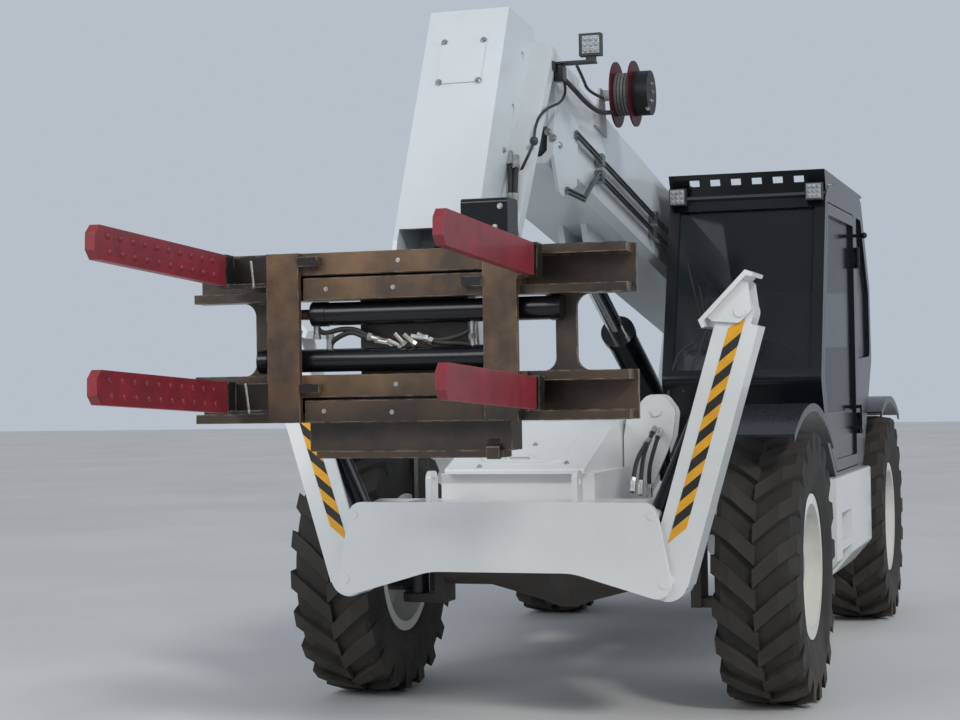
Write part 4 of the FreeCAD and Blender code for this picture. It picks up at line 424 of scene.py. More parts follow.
# %% [markdown]
# The clamp's paint is rubbed off along its edges. Painting that by hand would need an unwrapped
# mesh. The Bevel node finds edges by itself: it gives the normal of the surface as if its edges
# were rounded, and where that differs from the true one there is an edge. A noise breaks the
# bright line into chips.

# %% Worn edges
BARE_METAL, BARE_RED = (0.34, 0.27, 0.19), (0.36, 0.10, 0.10)
BEVEL_SAMPLES = 4
EDGE_STARTS, EDGE_FULL = 0.97, 0.82
CHIP_SCALE, CHIP_DETAIL = 22.0, 6.0
CHIPS_LOW, CHIPS_HIGH = 0.44, 0.58


def wear_edges(mat, colour, width, most=0.75):
    tree = mat.node_tree
    rounded = new_node(tree, "ShaderNodeBevel", Radius=width)
    rounded.samples = BEVEL_SAMPLES
    surface = tree.nodes.new("ShaderNodeNewGeometry")
    agree = tree.nodes.new("ShaderNodeVectorMath")
    agree.operation = "DOT_PRODUCT"
    tree.links.new(rounded.outputs["Normal"], agree.inputs[0])
    tree.links.new(surface.outputs["True Normal"], agree.inputs[1])
    edges = ranged(tree, agree.outputs["Value"], EDGE_STARTS, EDGE_FULL, most=most)
    chips = ranged(tree, noise(tree, CHIP_SCALE, CHIP_DETAIL), CHIPS_LOW, CHIPS_HIGH)
    lay_over(mat, times(tree, edges, chips), colour)


# %% [markdown]
# The rails are black, drifting in patches to brown: the brown is a painted warm reflection. The
# pads are red. The sliding arms are black too; on their carriers a painted warm reflection makes
# them bronze, darker towards the bottom. Their roots stay black: outside the carrier's edge, which
# a pixel finds on each side, and ahead of its front.

# %% Clamp paint
CARRIER_FRONT = 2.927
STEP = 0.001
# The arms get darker towards the bottom: where that starts, where it is full, its share and its
# colour.
DARKER_FROM_Z, DARKEST_AT_Z, MOST_DARKENING = 1.56, 1.36, 0.9
LOW_DOWN_TONE, ARM_BLACK = (0.022, 0.017, 0.014), (0.012, 0.011, 0.011)
CARRIER_EDGES_PX = {"left": (267, 340), "right": (519, 340)}
OUTWARDS_ON_CARRIER = {"left": -1, "right": 1}


def colour_past(mat, axis, start, full, colour, most=1.0):
    """Turns a material to another colour between two places along an axis."""
    tree = mat.node_tree
    lay_over(mat, ranged(tree, axis_in_object(tree, axis), start, full, most=most), colour)


def arm_black_warm_reflection(side):
    # The bronze colour is a painted reflection of the warm low sun on black gloss paint.
    mat = material("arm_paint_" + side, (0.19, 0.113, 0.056), (0.060, 0.040, 0.026), rough=0.33,
                   coat=0.3, patch=3.6, grain=120.0, bump=0.2, Specular_IOR_Level=0.4)
    edge_y = at_x(*CARRIER_EDGES_PX[side], CARRIER_FRONT).y
    # darker towards the bottom
    colour_past(mat, "Z", DARKER_FROM_Z, DARKEST_AT_Z, LOW_DOWN_TONE, MOST_DARKENING)
    colour_past(mat, "Y", edge_y, edge_y + STEP * OUTWARDS_ON_CARRIER[side], ARM_BLACK)
    colour_past(mat, "X", CARRIER_FRONT, CARRIER_FRONT + STEP, ARM_BLACK)
    wear_edges(mat, BARE_METAL, 0.007)
    return mat


# The brown second tone is a painted warm reflection, laid over the black in patches.
rail_black = material("rail_black", (0.022, 0.017, 0.013), (0.070, 0.046, 0.028), rough=0.34,
                      coat=0.25, patch=3.2, grain=110.0, bump=0.25)
wear_edges(rail_black, BARE_METAL, 0.009)
pad_red = material("pad_red", (0.27, 0.018, 0.030), (0.18, 0.013, 0.022), rough=0.42, coat=0.15,
                   patch=9.0, grain=150.0, bump=0.22)
wear_edges(pad_red, BARE_RED, 0.006, 0.5)
arm_warm_reflection_left, arm_warm_reflection_right = arm_black_warm_reflection("left"), arm_black_warm_reflection("right")

# %% [markdown]
# A field tyre is dull brownish black, its lugs are greyer at their tops, and its sidewall has fine
# moulded rings. All of that depends on the distance from the wheel's axis, so the net subtracts
# the wheel's centre, flattens the rest along the axle and takes the length. Each wheel has its own
# centre and so its own copy.

# %% Tyre rubber
LUG_FOOT_R, LUG_TOP_R = 0.585, 0.63
LUG_GREY, MOST_LUG_GREY = (0.052, 0.044, 0.036), 0.4
RINGS_END_R, RINGS_FULL_R, RING_PITCH = 0.47, 0.44, 0.017
RING_STRENGTH = 0.5
ACROSS_AXLE = (1, 0, 1)


def radius_from(tree, centre):
    flow = place_in_object(tree)
    for operation, value in (("SUBTRACT", centre), ("MULTIPLY", ACROSS_AXLE)):
        step = tree.nodes.new("ShaderNodeVectorMath")
        step.operation = operation
        step.inputs[1].default_value = value
        tree.links.new(flow, step.inputs[0])
        flow = step.outputs["Vector"]
    length = tree.nodes.new("ShaderNodeVectorMath")
    length.operation = "LENGTH"
    tree.links.new(flow, length.inputs[0])
    return length.outputs["Value"]


def tyre_rubber(name, centre):
    mat = material(name, (0.030, 0.027, 0.024), (0.016, 0.015, 0.014), rough=0.78, patch=5.0,
                   grain=160.0, bump=0.25, dust=((0.16, 0.13, 0.10), 0.5, 0.35))
    tree, shader = mat.node_tree, shader_of(mat)
    radius = radius_from(tree, centre)
    lay_over(mat, ranged(tree, radius, LUG_FOOT_R, LUG_TOP_R, most=MOST_LUG_GREY), LUG_GREY)
    waves = tree.nodes.new("ShaderNodeMath")
    waves.operation = "SINE"
    tree.links.new(times(tree, radius, 2 * pi / RING_PITCH), waves.inputs[0])
    rings = times(tree, waves.outputs[0], ranged(tree, radius, RINGS_END_R, RINGS_FULL_R))
    relief = new_node(tree, "ShaderNodeBump", Strength=RING_STRENGTH, Distance=GRAIN_DEPTH)
    tree.links.new(rings, relief.inputs["Height"])
    tree.links.new(shader.inputs["Normal"].links[0].from_socket, relief.inputs["Normal"])
    tree.links.new(relief.outputs["Normal"], shader.inputs["Normal"])
    return mat


# %% [markdown]
# Each node of the frame takes its finish in its material slot, and its mesh stays as it is. The
# table goes by the start of a node's name, so that left and right share a line. The first match
# counts, and what matches nothing is white.

# %% Finishes of the frame
NODE_FINISHES = (
    (glass, ("cab_glass", "door_glass")),
    (moulded, ("cab_lamps", "cab_fittings", "boom_lamp")),
    (gloss_black, ("cab_shell", "door", "visor", "sway", "valve_block", "clamp_cylinders",
                   "stabiliser_barrel", "lift_barrel", "tilt_barrel")),
    (chrome, ("stabiliser_rod", "lift_rod", "tilt_rod")),
    (pipe_steel, ("boom_pipes",)),
    (boom_grey, ("boom", "fly_boom")),
    (white, ("engine_cover",)),
    (iron, ("engine",)),
    (rim_paint, ("rim",)),
    (guard_black, ("knuckle",)),
    (cast_black, ("axle",)),
    (reel_paint, ("hose_reel",)),
    (rail_black, ("clamp_frame", "carriage")),
    (arm_warm_reflection_left, ("clamp_arms_left",)),
    (arm_warm_reflection_right, ("clamp_arms_right",)),
    (pad_red, ("clamp_pads",)),
    (lamp_red, ("tail_lamps",)),
    (cloth, ("seat",)),
)
for name, node in nodes.items():
    if name.startswith("tyre"):
        low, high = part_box(name)
        chosen = tyre_rubber("rubber_" + name, (low + high) / 2)
    else:
        chosen = next((mat for mat, starts in NODE_FINISHES if name.startswith(starts)), white)
    node.data.materials.clear()
    node.data.materials.append(chosen)
print(len(nodes), "nodes have their finish")

# %% [markdown]
# Screws, welds and clips sit on a surface. The sight line of the pixel where the photograph shows
# them is cast onto the node that carries them, which gives a point and the way the surface faces.
# A BVH tree answers such a cast quickly and is made once for each node.

# %% Sight lines onto nodes
surfaces = {}


def hit(node, px, py):
    """Point and facing where a pixel's sight line meets a node, or None where it misses."""
    if node not in surfaces:
        mesh = nodes[node].data
        surfaces[node] = BVHTree.FromPolygons([tuple(v.co) for v in mesh.vertices],
                                              [tuple(p.vertices) for p in mesh.polygons])
    point, facing, _, _ = surfaces[node].ray_cast(CAM_AT, sight(px, py).normalized())
    return None if point is None else (point, facing)


def hits(node, pixels):
    found = [spot for spot in (hit(node, *pixel) for pixel in pixels) if spot]
    print(len(found), "of", len(pixels), "sight lines meet", node)
    return found


# %% [markdown]
# Every added piece goes through one gate: it gets its materials and rides on the body that carries
# it. A piece without a body is left without one.


def hand_over(piece, body, *finishes):
    show(piece)
    for mat in finishes:
        piece.data.materials.append(mat)
    if body:
        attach(piece, body)
    print(piece.name, "on", body, len(piece.data.polygons), "faces")
    return piece


# %% [markdown]
# Screws, studs, lamp cells, weld beads and slats are each one small shape on many points. A loop
# could copy them, but a Geometry Nodes tree says the shape once, with its sizes as named inputs.
# It ends in real faces, because the export keeps no instances. On a surface, the shape's Z follows
# the point's facing, after a random turn from a fixed seed: real hex heads never line up.

# %% Frame of a tree
RANDOM_MAX, RANDOM_FLOAT = 3, 1  # sockets of the Random Value node when it gives a float


def tree_with(name, sizes):
    """Empty tree with a named input for each size, and its input and output nodes."""
    tree = bpy.data.node_groups.new(name, "GeometryNodeTree")
    face = tree.interface
    face.new_socket("Geometry", in_out="INPUT", socket_type="NodeSocketGeometry")
    face.new_socket("Geometry", in_out="OUTPUT", socket_type="NodeSocketGeometry")
    for label, value in sizes.items():
        kind = "NodeSocketInt" if isinstance(value, int) else "NodeSocketFloat"
        face.new_socket(label, in_out="INPUT", socket_type=kind).default_value = value
    face.new_socket("Finish", in_out="INPUT", socket_type="NodeSocketMaterial")
    return tree, tree.nodes.new("NodeGroupInput"), tree.nodes.new("NodeGroupOutput")


def turn_to_facing(tree, start):
    """Rotation with Z along the point's facing, after a random turn about it."""
    facing = new_node(tree, "GeometryNodeInputNamedAttribute", Name="facing")
    facing.data_type = "FLOAT_VECTOR"
    chance = tree.nodes.new("FunctionNodeRandomValue")
    chance.data_type = "FLOAT"
    chance.inputs[RANDOM_MAX].default_value = 2 * pi
    tree.links.new(start.outputs["Seed"], chance.inputs["Seed"])
    spin = tree.nodes.new("FunctionNodeAxisAngleToRotation")
    tree.links.new(chance.outputs[RANDOM_FLOAT], spin.inputs["Angle"])
    turn = tree.nodes.new("FunctionNodeAlignRotationToVector")
    turn.axis = "Z"
    tree.links.new(spin.outputs[0], turn.inputs["Rotation"])
    tree.links.new(facing.outputs["Attribute"], turn.inputs["Vector"])
    return turn.outputs["Rotation"]


def set_on_points(tree, start, end, shape, smooth, turned=True):
    """Ends a tree: the shape on every point, as real faces with the Finish material."""
    copies = tree.nodes.new("GeometryNodeInstanceOnPoints")
    tree.links.new(start.outputs["Geometry"], copies.inputs["Points"])
    tree.links.new(shape, copies.inputs["Instance"])
    if turned:
        tree.links.new(turn_to_facing(tree, start), copies.inputs["Rotation"])
    real = tree.nodes.new("GeometryNodeRealizeInstances")
    shade = new_node(tree, "GeometryNodeSetShadeSmooth", Shade_Smooth=smooth)
    coat = tree.nodes.new("GeometryNodeSetMaterial")
    tree.links.new(copies.outputs[0], real.inputs[0])
    tree.links.new(real.outputs[0], shade.inputs["Geometry"])
    tree.links.new(shade.outputs[0], coat.inputs["Geometry"])
    tree.links.new(start.outputs["Finish"], coat.inputs["Material"])
    tree.links.new(coat.outputs[0], end.inputs[0])


# %% [markdown]
# Points go into a mesh with their facings, the tree runs on it as a modifier, and new_from_object
# keeps the result as a plain mesh. The modifier's inputs are set by the sockets' identifiers,
# before Blender first works it out. The helper object then goes away with its modifier.

# %% Grow a piece from points
def grow(name, tree, spots, body, mat, **sizes):
    """spots are (point, facing) pairs; sizes name the tree's inputs, _ for a space."""
    points = bpy.data.meshes.new(name + "_points")
    points.from_pydata([tuple(point) for point, _ in spots], [], [])
    facings = points.attributes.new("facing", "FLOAT_VECTOR", "POINT")
    for i, (_, facing) in enumerate(spots):
        facings.data[i].vector = facing
    source = bpy.data.objects.new(name + "_points", points)
    show(source)
    modifier = source.modifiers.new("grow", "NODES")
    modifier.node_group = tree
    for socket in tree.interface.items_tree:
        key = socket.name.replace(" ", "_")
        if key == "Finish":
            modifier[socket.identifier] = mat
        elif key in sizes:
            modifier[socket.identifier] = sizes[key]
    whole = source.evaluated_get(bpy.context.evaluated_depsgraph_get())
    mesh = bpy.data.meshes.new_from_object(whole)
    bpy.data.objects.remove(source)
    return hand_over(bpy.data.objects.new(name, mesh), body)


# %% [markdown]
# A screw here is a round seat, its washer or collar, with a hexagon on it: two cylinders, one with
# 16 sides and one with 6. Each is raised by half its height, because Blender makes a cylinder
# around its middle.

# %% Screw
SEAT_SIDES, HEX_SIDES = 16, 6
HALF = 0.5


def standing_cylinder(tree, start, radius, height, sides, base=None):
    """Cylinder on the surface, or on top of what the input named base measures."""
    shape = new_node(tree, "GeometryNodeMeshCylinder", Vertices=sides)
    tree.links.new(start.outputs[radius], shape.inputs["Radius"])
    tree.links.new(start.outputs[height], shape.inputs["Depth"])
    middle = tree.nodes.new("ShaderNodeMath")
    middle.operation = "MULTIPLY_ADD"
    middle.inputs[1].default_value, middle.inputs[2].default_value = HALF, 0.0
    tree.links.new(start.outputs[height], middle.inputs[0])
    if base:
        tree.links.new(start.outputs[base], middle.inputs[2])
    lift = tree.nodes.new("ShaderNodeCombineXYZ")
    tree.links.new(middle.outputs[0], lift.inputs["Z"])
    move = tree.nodes.new("GeometryNodeTransform")
    tree.links.new(shape.outputs["Mesh"], move.inputs["Geometry"])
    tree.links.new(lift.outputs[0], move.inputs["Translation"])
    return move.outputs["Geometry"]


def screw_tree():
    tree, start, end = tree_with("screw", {"Seat radius": 0.012, "Seat height": 0.003,
                                           "Hex radius": 0.009, "Hex height": 0.007, "Seed": 5})
    seat = standing_cylinder(tree, start, "Seat radius", "Seat height", SEAT_SIDES)
    head = standing_cylinder(tree, start, "Hex radius", "Hex height", HEX_SIDES, "Seat height")
    join = tree.nodes.new("GeometryNodeJoinGeometry")
    for part in (seat, head):
        tree.links.new(part, join.inputs[0])
    set_on_points(tree, start, end, join.outputs[0], smooth=False)
    return tree


SCREW = screw_tree()

# %% [markdown]
# The clamp's bars are held by flat screws, the nose of the boom by three heavy bolts, its
# inspection cover by four screws with a fifth on the side of the head, the valve box by two that
# can be seen, the hood by three and the reel's motor by four. All are zinc plated, and each set is
# one piece.

# %% Screws
SCREW_SETS = (
    # piece, node that carries it, pixels, sizes of the screw
    ("bar_screws_left", "clamp_arms_left", ((398, 260), (396, 384)),
     dict(Seat_radius=0.009, Seat_height=0.002, Hex_radius=0.005, Hex_height=0.002)),
    ("bar_screws_right", "clamp_arms_right", ((393, 287), (326, 289), (392, 412), (324, 411)),
     dict(Seat_radius=0.009, Seat_height=0.002, Hex_radius=0.005, Hex_height=0.002)),
    ("cover_screws", "boom_head",
     ((444.7, 42.5), (483.7, 40), (438.7, 82.3), (478, 80), (503.6, 150)),
     dict(Seat_radius=0.013, Hex_radius=0.009)),
    ("nose_bolts", "boom", ((548.2, 132), (553, 138), (559.5, 145.4)),
     dict(Seat_radius=0.017, Hex_radius=0.012, Hex_height=0.009)),
    ("valve_screws", "valve_block", ((500, 206), (495, 227)),
     dict(Seat_radius=0.011, Hex_radius=0.008)),
    ("hood_screws", "hood", ((479.5, 467), (566.6, 463.4), (535.5, 445)),
     dict(Seat_radius=0.012, Hex_radius=0.008)),
    ("motor_bolts", "hose_reel", ((651, 84), (652, 92), (651, 101), (648, 108)),
     dict(Seat_radius=0.011, Hex_radius=0.008)),
)
for name, node, pixels, sizes in SCREW_SETS:
    grow(name, SCREW, hits(node, pixels), body_of[node], zinc, **sizes)

# %% [markdown]
# Studs, weld beads, the cable's gland and lamp cells are low domes. The tree presses a small ball
# flat along its facing. The lower half stays inside the surface that carries it, so the piece is
# closed and nothing shows underneath.

# %% Dome
BALL_SUBDIVISIONS = 2


def dome_tree():
    tree, start, end = tree_with("dome", {"Radius": 0.01, "Flatness": 0.5, "Seed": 3})
    ball = new_node(tree, "GeometryNodeMeshIcoSphere", Subdivisions=BALL_SUBDIVISIONS)
    tree.links.new(start.outputs["Radius"], ball.inputs["Radius"])
    press = new_node(tree, "ShaderNodeCombineXYZ", X=1.0, Y=1.0)
    tree.links.new(start.outputs["Flatness"], press.inputs["Z"])
    squeeze = tree.nodes.new("GeometryNodeTransform")
    tree.links.new(ball.outputs["Mesh"], squeeze.inputs["Geometry"])
    tree.links.new(press.outputs[0], squeeze.inputs["Scale"])
    set_on_points(tree, start, end, squeeze.outputs["Geometry"], smooth=True)
    return tree


DOME = dome_tree()

# %% [markdown]
# The inner face of each arm's pad grips the bale with two rows of ten round studs. The arms climb
# a little towards their tips and the rows follow that slope, the upper one a little ahead. The
# faces' places are taken from the pads.

# %% Grip studs
ARM_MIDDLES_Z = (1.943, 1.465)
ARM_ROOT_X, ARM_SLOPE = 2.897, 0.0454
STUDS_IN_ROW, FIRST_STUD_X, STUD_PITCH = 10, 3.10, 0.088
HALF_ROW_GAP, UPPER_ROW_LEAD = 0.026, 0.012


def stud_spots(face_y, inwards):
    spots = []
    for arm_z in ARM_MIDDLES_Z:
        for i in range(STUDS_IN_ROW):
            x = FIRST_STUD_X + i * STUD_PITCH
            z = arm_z + (x - ARM_ROOT_X) * ARM_SLOPE
            for up, lead in ((-HALF_ROW_GAP, 0.0), (HALF_ROW_GAP, UPPER_ROW_LEAD)):
                spots.append((Vector((x + lead, face_y, z + up)), (0, inwards, 0)))
    return spots


for side, face_y, inwards in (("left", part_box("clamp_pads_left")[1].y, 1),
                              ("right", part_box("clamp_pads_right")[0].y, -1)):
    grow("grip_studs_" + side, DOME, stud_spots(face_y, inwards), "clamp_" + side, pad_red,
         Radius=0.0125, Flatness=0.55)

# %% [markdown]
# Bright seams of weld join the left pair of arms to their roots. A weld is laid as a row of small
# pools, each half over the last, and a chain of flattened domes between two pixels has that look.
# Sight lines that miss the root are left out.

# %% Welds
SEAMS_PX = (
    # start, end, steps
    ((245, 381), (249, 412), 26),
    ((251, 262), (254, 290), 24),
)


def seam(start, end, steps):
    return [(start[0] + (end[0] - start[0]) * i / steps, start[1] + (end[1] - start[1]) * i / steps)
            for i in range(steps + 1)]


weld_pools = [spot for ends in SEAMS_PX for spot in hits("clamp_arms_left", seam(*ends))]
grow("arm_welds", DOME, weld_pools, "clamp_left", weld, Radius=0.0055, Flatness=0.5)

# %% [markdown]
# Each stabiliser leg has a slanted yellow and black band of film down its front. The leg's
# material could draw it, but separate stripes are simpler: each is a leaning plate, a millimetre
# thick, and every other one is black. The right band is the left one with Y turned round, so its
# normals are recalculated.

# %% Warning bands
BAND_WIDTH, STRIPES, FILM = 0.058, 15, 0.0012
STRIPE_LEAN, FIRST_STRIPE_TRIM = 1.4, 0.3
OFF_THE_LEG = 0.0004
BAND_TOP_PX, BAND_END_PX, LEG_FACE_PX = (736, 326), (677, 536), (720, 380)


def stripe(form, corners, material_index):
    back = [form.verts.new(corner) for corner in corners]
    front = [form.verts.new(corner + Vector((FILM, 0, 0))) for corner in corners]
    faces = [form.faces.new(front), form.faces.new(back[::-1])]
    faces += [form.faces.new((front[k - 1], front[k], back[k], back[k - 1])) for k in range(4)]
    for face in faces:
        face.material_index = material_index


def warning_band(name, body, side, top, end):
    mesh = bpy.data.meshes.new(name)
    form = bmesh.new()
    down = (end - top) / STRIPES
    across = Vector((0, -down.z, down.y)).normalized() * BAND_WIDTH * side
    lean = down * STRIPE_LEAN
    for i in range(STRIPES):
        at = top + down * i
        corners = [at + lean / 2 - across / 2, at - lean / 2 + across / 2,
                   at - lean / 2 + down + across / 2, at + lean / 2 + down - across / 2]
        if i == 0:
            corners[0] = corners[0] - lean * FIRST_STRIPE_TRIM
        stripe(form, corners, i % 2)
    bmesh.ops.recalc_face_normals(form, faces=form.faces)
    form.to_mesh(mesh)
    form.free()
    hand_over(bpy.data.objects.new(name, mesh), body, band_yellow, band_black)


band_x = hit("stabiliser_leg_left", *LEG_FACE_PX)[0].x + OFF_THE_LEG
band_top, band_end = at_x(*BAND_TOP_PX, band_x), at_x(*BAND_END_PX, band_x)
for suffix, side in (("left", 1), ("right", -1)):
    flip = Vector((1, side, 1))
    warning_band("band_" + suffix, "stabiliser_leg_" + suffix, side, band_top * flip,
                 band_end * flip)

# %% [markdown]
# Hoses and cables here are held at both ends, so their run is known and needs no simulation. A
# NURBS curve bends smoothly along a few chosen points, its bevel gives it a round section, and it
# becomes a mesh once it is done. The crimped end of a hose is the screw's shape drawn out.

# %% Hose maker
HOSE_BEVEL, HOSE_STEPS, HOSE_ORDER = 3, 10, 3
CRIMP_R, CRIMP_L, NUT_R, NUT_L = 1.35, 5, 1.6, 1.6  # in radii of the hose


def hose(name, points, radius, body, mat=hose_black, ends=True):
    """Round line along points; body None leaves it without a body and without ends."""
    line = bpy.data.curves.new(name + "_line", "CURVE")
    line.dimensions = "3D"
    line.bevel_depth, line.bevel_resolution = radius, HOSE_BEVEL
    line.resolution_u, line.use_fill_caps = HOSE_STEPS, True
    path = line.splines.new("NURBS")
    path.points.add(len(points) - 1)
    for knot, point in zip(path.points, points):
        knot.co = (*point, 1)
    path.order_u, path.use_endpoint_u = HOSE_ORDER, True
    source = bpy.data.objects.new(name + "_line", line)
    show(source)
    whole = source.evaluated_get(bpy.context.evaluated_depsgraph_get())
    mesh = bpy.data.meshes.new_from_object(whole)
    bpy.data.objects.remove(source)
    for face in mesh.polygons:
        face.use_smooth = True
    piece = hand_over(bpy.data.objects.new(name, mesh), body, mat)
    if ends and body:
        both = [(Vector(points[0]), Vector(points[1]) - Vector(points[0])),
                (Vector(points[-1]), Vector(points[-2]) - Vector(points[-1]))]
        grow(name + "_ends", SCREW, both, body, zinc, Seat_radius=radius * CRIMP_R,
             Seat_height=radius * CRIMP_L, Hex_radius=radius * NUT_R, Hex_height=radius * NUT_L)
    return piece


# %% [markdown]
# Two short hoses run down the side of the boom's head and end behind the valve block. Their points
# are hits on its side, moved out by more than their radius. A thin cable hangs beside the head in
# a double bend, with a round gland on it, so its points lie in a plane.

# %% Lines on the boom's head
HEAD_HOSES_PX = (((511, 156), (511.5, 172), (512, 190), (511, 212)),
                 ((517, 160), (517, 176), (516.5, 192), (515.5, 212)))
HEAD_HOSE_R, HEAD_HOSE_OFF = 0.011, 0.020
HEAD_CABLE_PX = ((563, 78), (567, 90), (561, 103), (549, 107), (539, 116), (535, 128), (534, 141),
                 (530, 152))
CABLE_Y, CABLE_IN_Y, CABLE_R, CABLE_GAP = 0.270, 0.235, 0.006, 0.034
CABLE_IN_PX, CABLE_FOOT_PX, HEAD_SIDE_PX = (523, 166), (518, 178), (511, 160)
GLAND_AT = 6

for i, pixels in enumerate(HEAD_HOSES_PX):
    run = [point + facing * HEAD_HOSE_OFF for point, facing in hits("boom_head", pixels)]
    hose("head_hose_%d" % i, run, HEAD_HOSE_R, "boom_extension")
head_side_y = hit("boom_head", *HEAD_SIDE_PX)[0].y
cable = [at_y(*pixel, CABLE_Y) for pixel in HEAD_CABLE_PX]
cable += [at_y(*CABLE_IN_PX, CABLE_IN_Y), at_y(*CABLE_FOOT_PX, head_side_y + CABLE_GAP)]
hose("head_cable", cable, CABLE_R, "boom_extension", ends=False)
grow("cable_gland", DOME, [(cable[GLAND_AT], (0, 1, 0))], "boom_extension", moulded, Radius=0.020,
     Flatness=0.9)

# %% [markdown]
# A few parts are plain blocks with softened edges. One function makes them from a middle and a
# size: a unit cube is stretched, moved and beveled in the mesh itself, so that its object stays
# at the origin.

# %% Block maker
BLOCK_BEVEL_STEPS, BLOCK_BEVEL_PROFILE = 3, 0.6


def block(name, middle, size, body, mat, bevel):
    mesh = bpy.data.meshes.new(name)
    form = bmesh.new()
    bmesh.ops.create_cube(form, size=1)
    for vert in form.verts:
        vert.co = Vector(middle) + Vector([c * s for c, s in zip(vert.co, size)])
    bmesh.ops.bevel(form, geom=form.edges[:], offset=bevel, segments=BLOCK_BEVEL_STEPS,
                    profile=BLOCK_BEVEL_PROFILE, affect="EDGES")
    form.to_mesh(mesh)
    form.free()
    return hand_over(bpy.data.objects.new(name, mesh), body, mat)


# %% [markdown]
# A thick and a thin line run from a junction box on the head to the reel on the fixed boom, which
# pays them out as the boom extends. Each line is made here without a body, from the junction to
# just past the reel's inner side.

# %% Lines to the reel
REEL_LINES = (
    # piece, pixels, how far past the reel's inner side it ends, radius
    ("reel_hose", ((561, 76), (573, 88), (588, 105), (602, 114), (613, 112)), 0.083, 0.011),
    ("lamp_cable", ((577, 66), (583, 78), (588, 92), (603, 98)), 0.060, 0.007),
)
LAMP_CLIP_PX, JUNCTION_PX = (554.5, 66), (560, 74)
JUNCTION_OUT, JUNCTION_SIZE, JUNCTION_BEVEL = 0.01, (0.06, 0.045, 0.07), 0.008

clip_y = hit("boom_lamp", *LAMP_CLIP_PX)[0].y
junction = at_y(*JUNCTION_PX, clip_y + JUNCTION_OUT)
block("hose_junction", junction, JUNCTION_SIZE, "boom_extension", gloss_black, JUNCTION_BEVEL)
reel_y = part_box("hose_reel")[0].y
for name, pixels, past_reel, radius in REEL_LINES:
    spans = len(pixels) - 1
    across = reel_y + past_reel - junction.y
    points = [at_y(*pixel, junction.y + across * i / spans) for i, pixel in enumerate(pixels)]
    line = hose(name, points, radius, None)
    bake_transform(line)

# %% [markdown]
# Between the clamp's two cylinders lies a bundle of four hoses and the bright quick couplings
# where they are plugged together. The couplings are the screw's shape with a long collar, each
# aimed along its slope in the picture. Three more hoses hang from the tower plate beside the front
# wheel.

# %% Hoses of the clamp and the tower
BUNDLE_X, COUPLINGS_AHEAD, TOWER_Y, SERVICE_HOSE_R = 2.82, 0.02, 0.50, 0.010
CLAMP_HOSES_PX = (
    ((317, 322), (317, 330), (326, 334), (340, 329), (356, 329), (368, 336), (384, 341)),
    ((330, 352), (330, 344), (338, 337), (352, 331), (366, 338), (392, 342)),
    ((412, 336), (424, 338), (440, 343), (462, 343), (474, 345), (475, 352)),
    ((418, 334), (432, 341), (452, 338), (466, 333), (473, 328), (473, 320)),
)
COUPLINGS_PX = ((378, 341, 0.2), (388, 340, 0.5), (395, 333, 1.1), (404, 334, 0.9))  # x, y, slope
TOWER_HOSES_PX = (((655, 428), (646, 445), (641, 470), (640, 495)),
                  ((660, 430), (653, 452), (648, 474), (650, 497)),
                  ((649, 440), (640, 452), (634, 470), (632, 492)))

for i, pixels in enumerate(CLAMP_HOSES_PX):
    hose("clamp_hose_%d" % i, [at_x(*pixel, BUNDLE_X) for pixel in pixels], SERVICE_HOSE_R,
         "attachment")
couplings = [(at_x(px, py, BUNDLE_X + COUPLINGS_AHEAD), RIGHT - UP * slope)
             for px, py, slope in COUPLINGS_PX]
grow("quick_couplings", SCREW, couplings, "attachment", zinc, Seat_radius=0.010,
     Seat_height=0.045, Hex_radius=0.013, Hex_height=0.013)
for i, pixels in enumerate(TOWER_HOSES_PX):
    hose("tower_hose_%d" % i, [at_y(*pixel, TOWER_Y) for pixel in pixels], SERVICE_HOSE_R,
         "chassis")

# %% [markdown]
# Two wipers rest on the windscreen: a bent arm from its spindle, and a blade with a rubber lip.
# They are thin round rods from the hose maker, just in front of the glass.

# %% Wipers
GLASS_GAP, BLADE_BEHIND_ARM, WIPER_R = 0.012, 0.004, 0.006
WIPERS_PX = (
    # arm, blade
    (((668, 396), (672, 372), (679, 350), (694, 343)), ((687, 262), (709, 356))),
    (((683, 392), (691, 368), (700, 350), (706, 330)), ((699, 286), (714, 372))),
)
arm_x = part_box("cab_glass")[1].x + GLASS_GAP
for i, (arm, blade) in enumerate(WIPERS_PX):
    hose("wiper_arm_%d" % i, [at_x(*pixel, arm_x) for pixel in arm], WIPER_R, "chassis", moulded,
         ends=False)
    hose("wiper_blade_%d" % i, [at_x(*pixel, arm_x - BLADE_BEHIND_ARM) for pixel in blade], WIPER_R,
         "chassis", seal, ends=False)

# %% [markdown]
# The three square work lamps have nine bright cells each. A thin beveled sheet is the lens, and
# nine domes on it are the cells. Two lamps are at the cab's front, and the third stands on the
# boom's head, where a sight line finds its middle because its node includes its arm.

# %% Lamp lenses
LENS_HALF_WAY, LENS_OUT, CELLS_OUT, CELL_PITCH = 0.044, 0.001, 0.004, 0.024
LENS_SIZE, LENS_BEVEL = (0.006, 0.076, 0.076), 0.002
BOOM_LAMP_PX = (590.7, 44.4)
GRID = (-1, 0, 1)

cab_low, cab_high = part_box("cab_lamps")
cab_z = (cab_low.z + cab_high.z) / 2
LAMPS = (
    # name, node, middle of its front
    ("lamp_right", "cab_lamps", Vector((cab_high.x, cab_low.y + LENS_HALF_WAY, cab_z))),
    ("lamp_left", "cab_lamps", Vector((cab_high.x, cab_high.y - LENS_HALF_WAY, cab_z))),
    ("lamp_boom", "boom_lamp", hit("boom_lamp", *BOOM_LAMP_PX)[0]),
)
for name, node, front in LAMPS:
    block(name + "_lens", front + Vector((LENS_OUT, 0, 0)), LENS_SIZE, body_of[node], lens_clear,
          LENS_BEVEL)
    cells = [(front + Vector((CELLS_OUT, CELL_PITCH * j, CELL_PITCH * k)), (1, 0, 0))
             for j in GRID for k in GRID]
    grow(name + "_cells", DOME, cells, body_of[node], lens_clear, Radius=0.0105, Flatness=0.5)

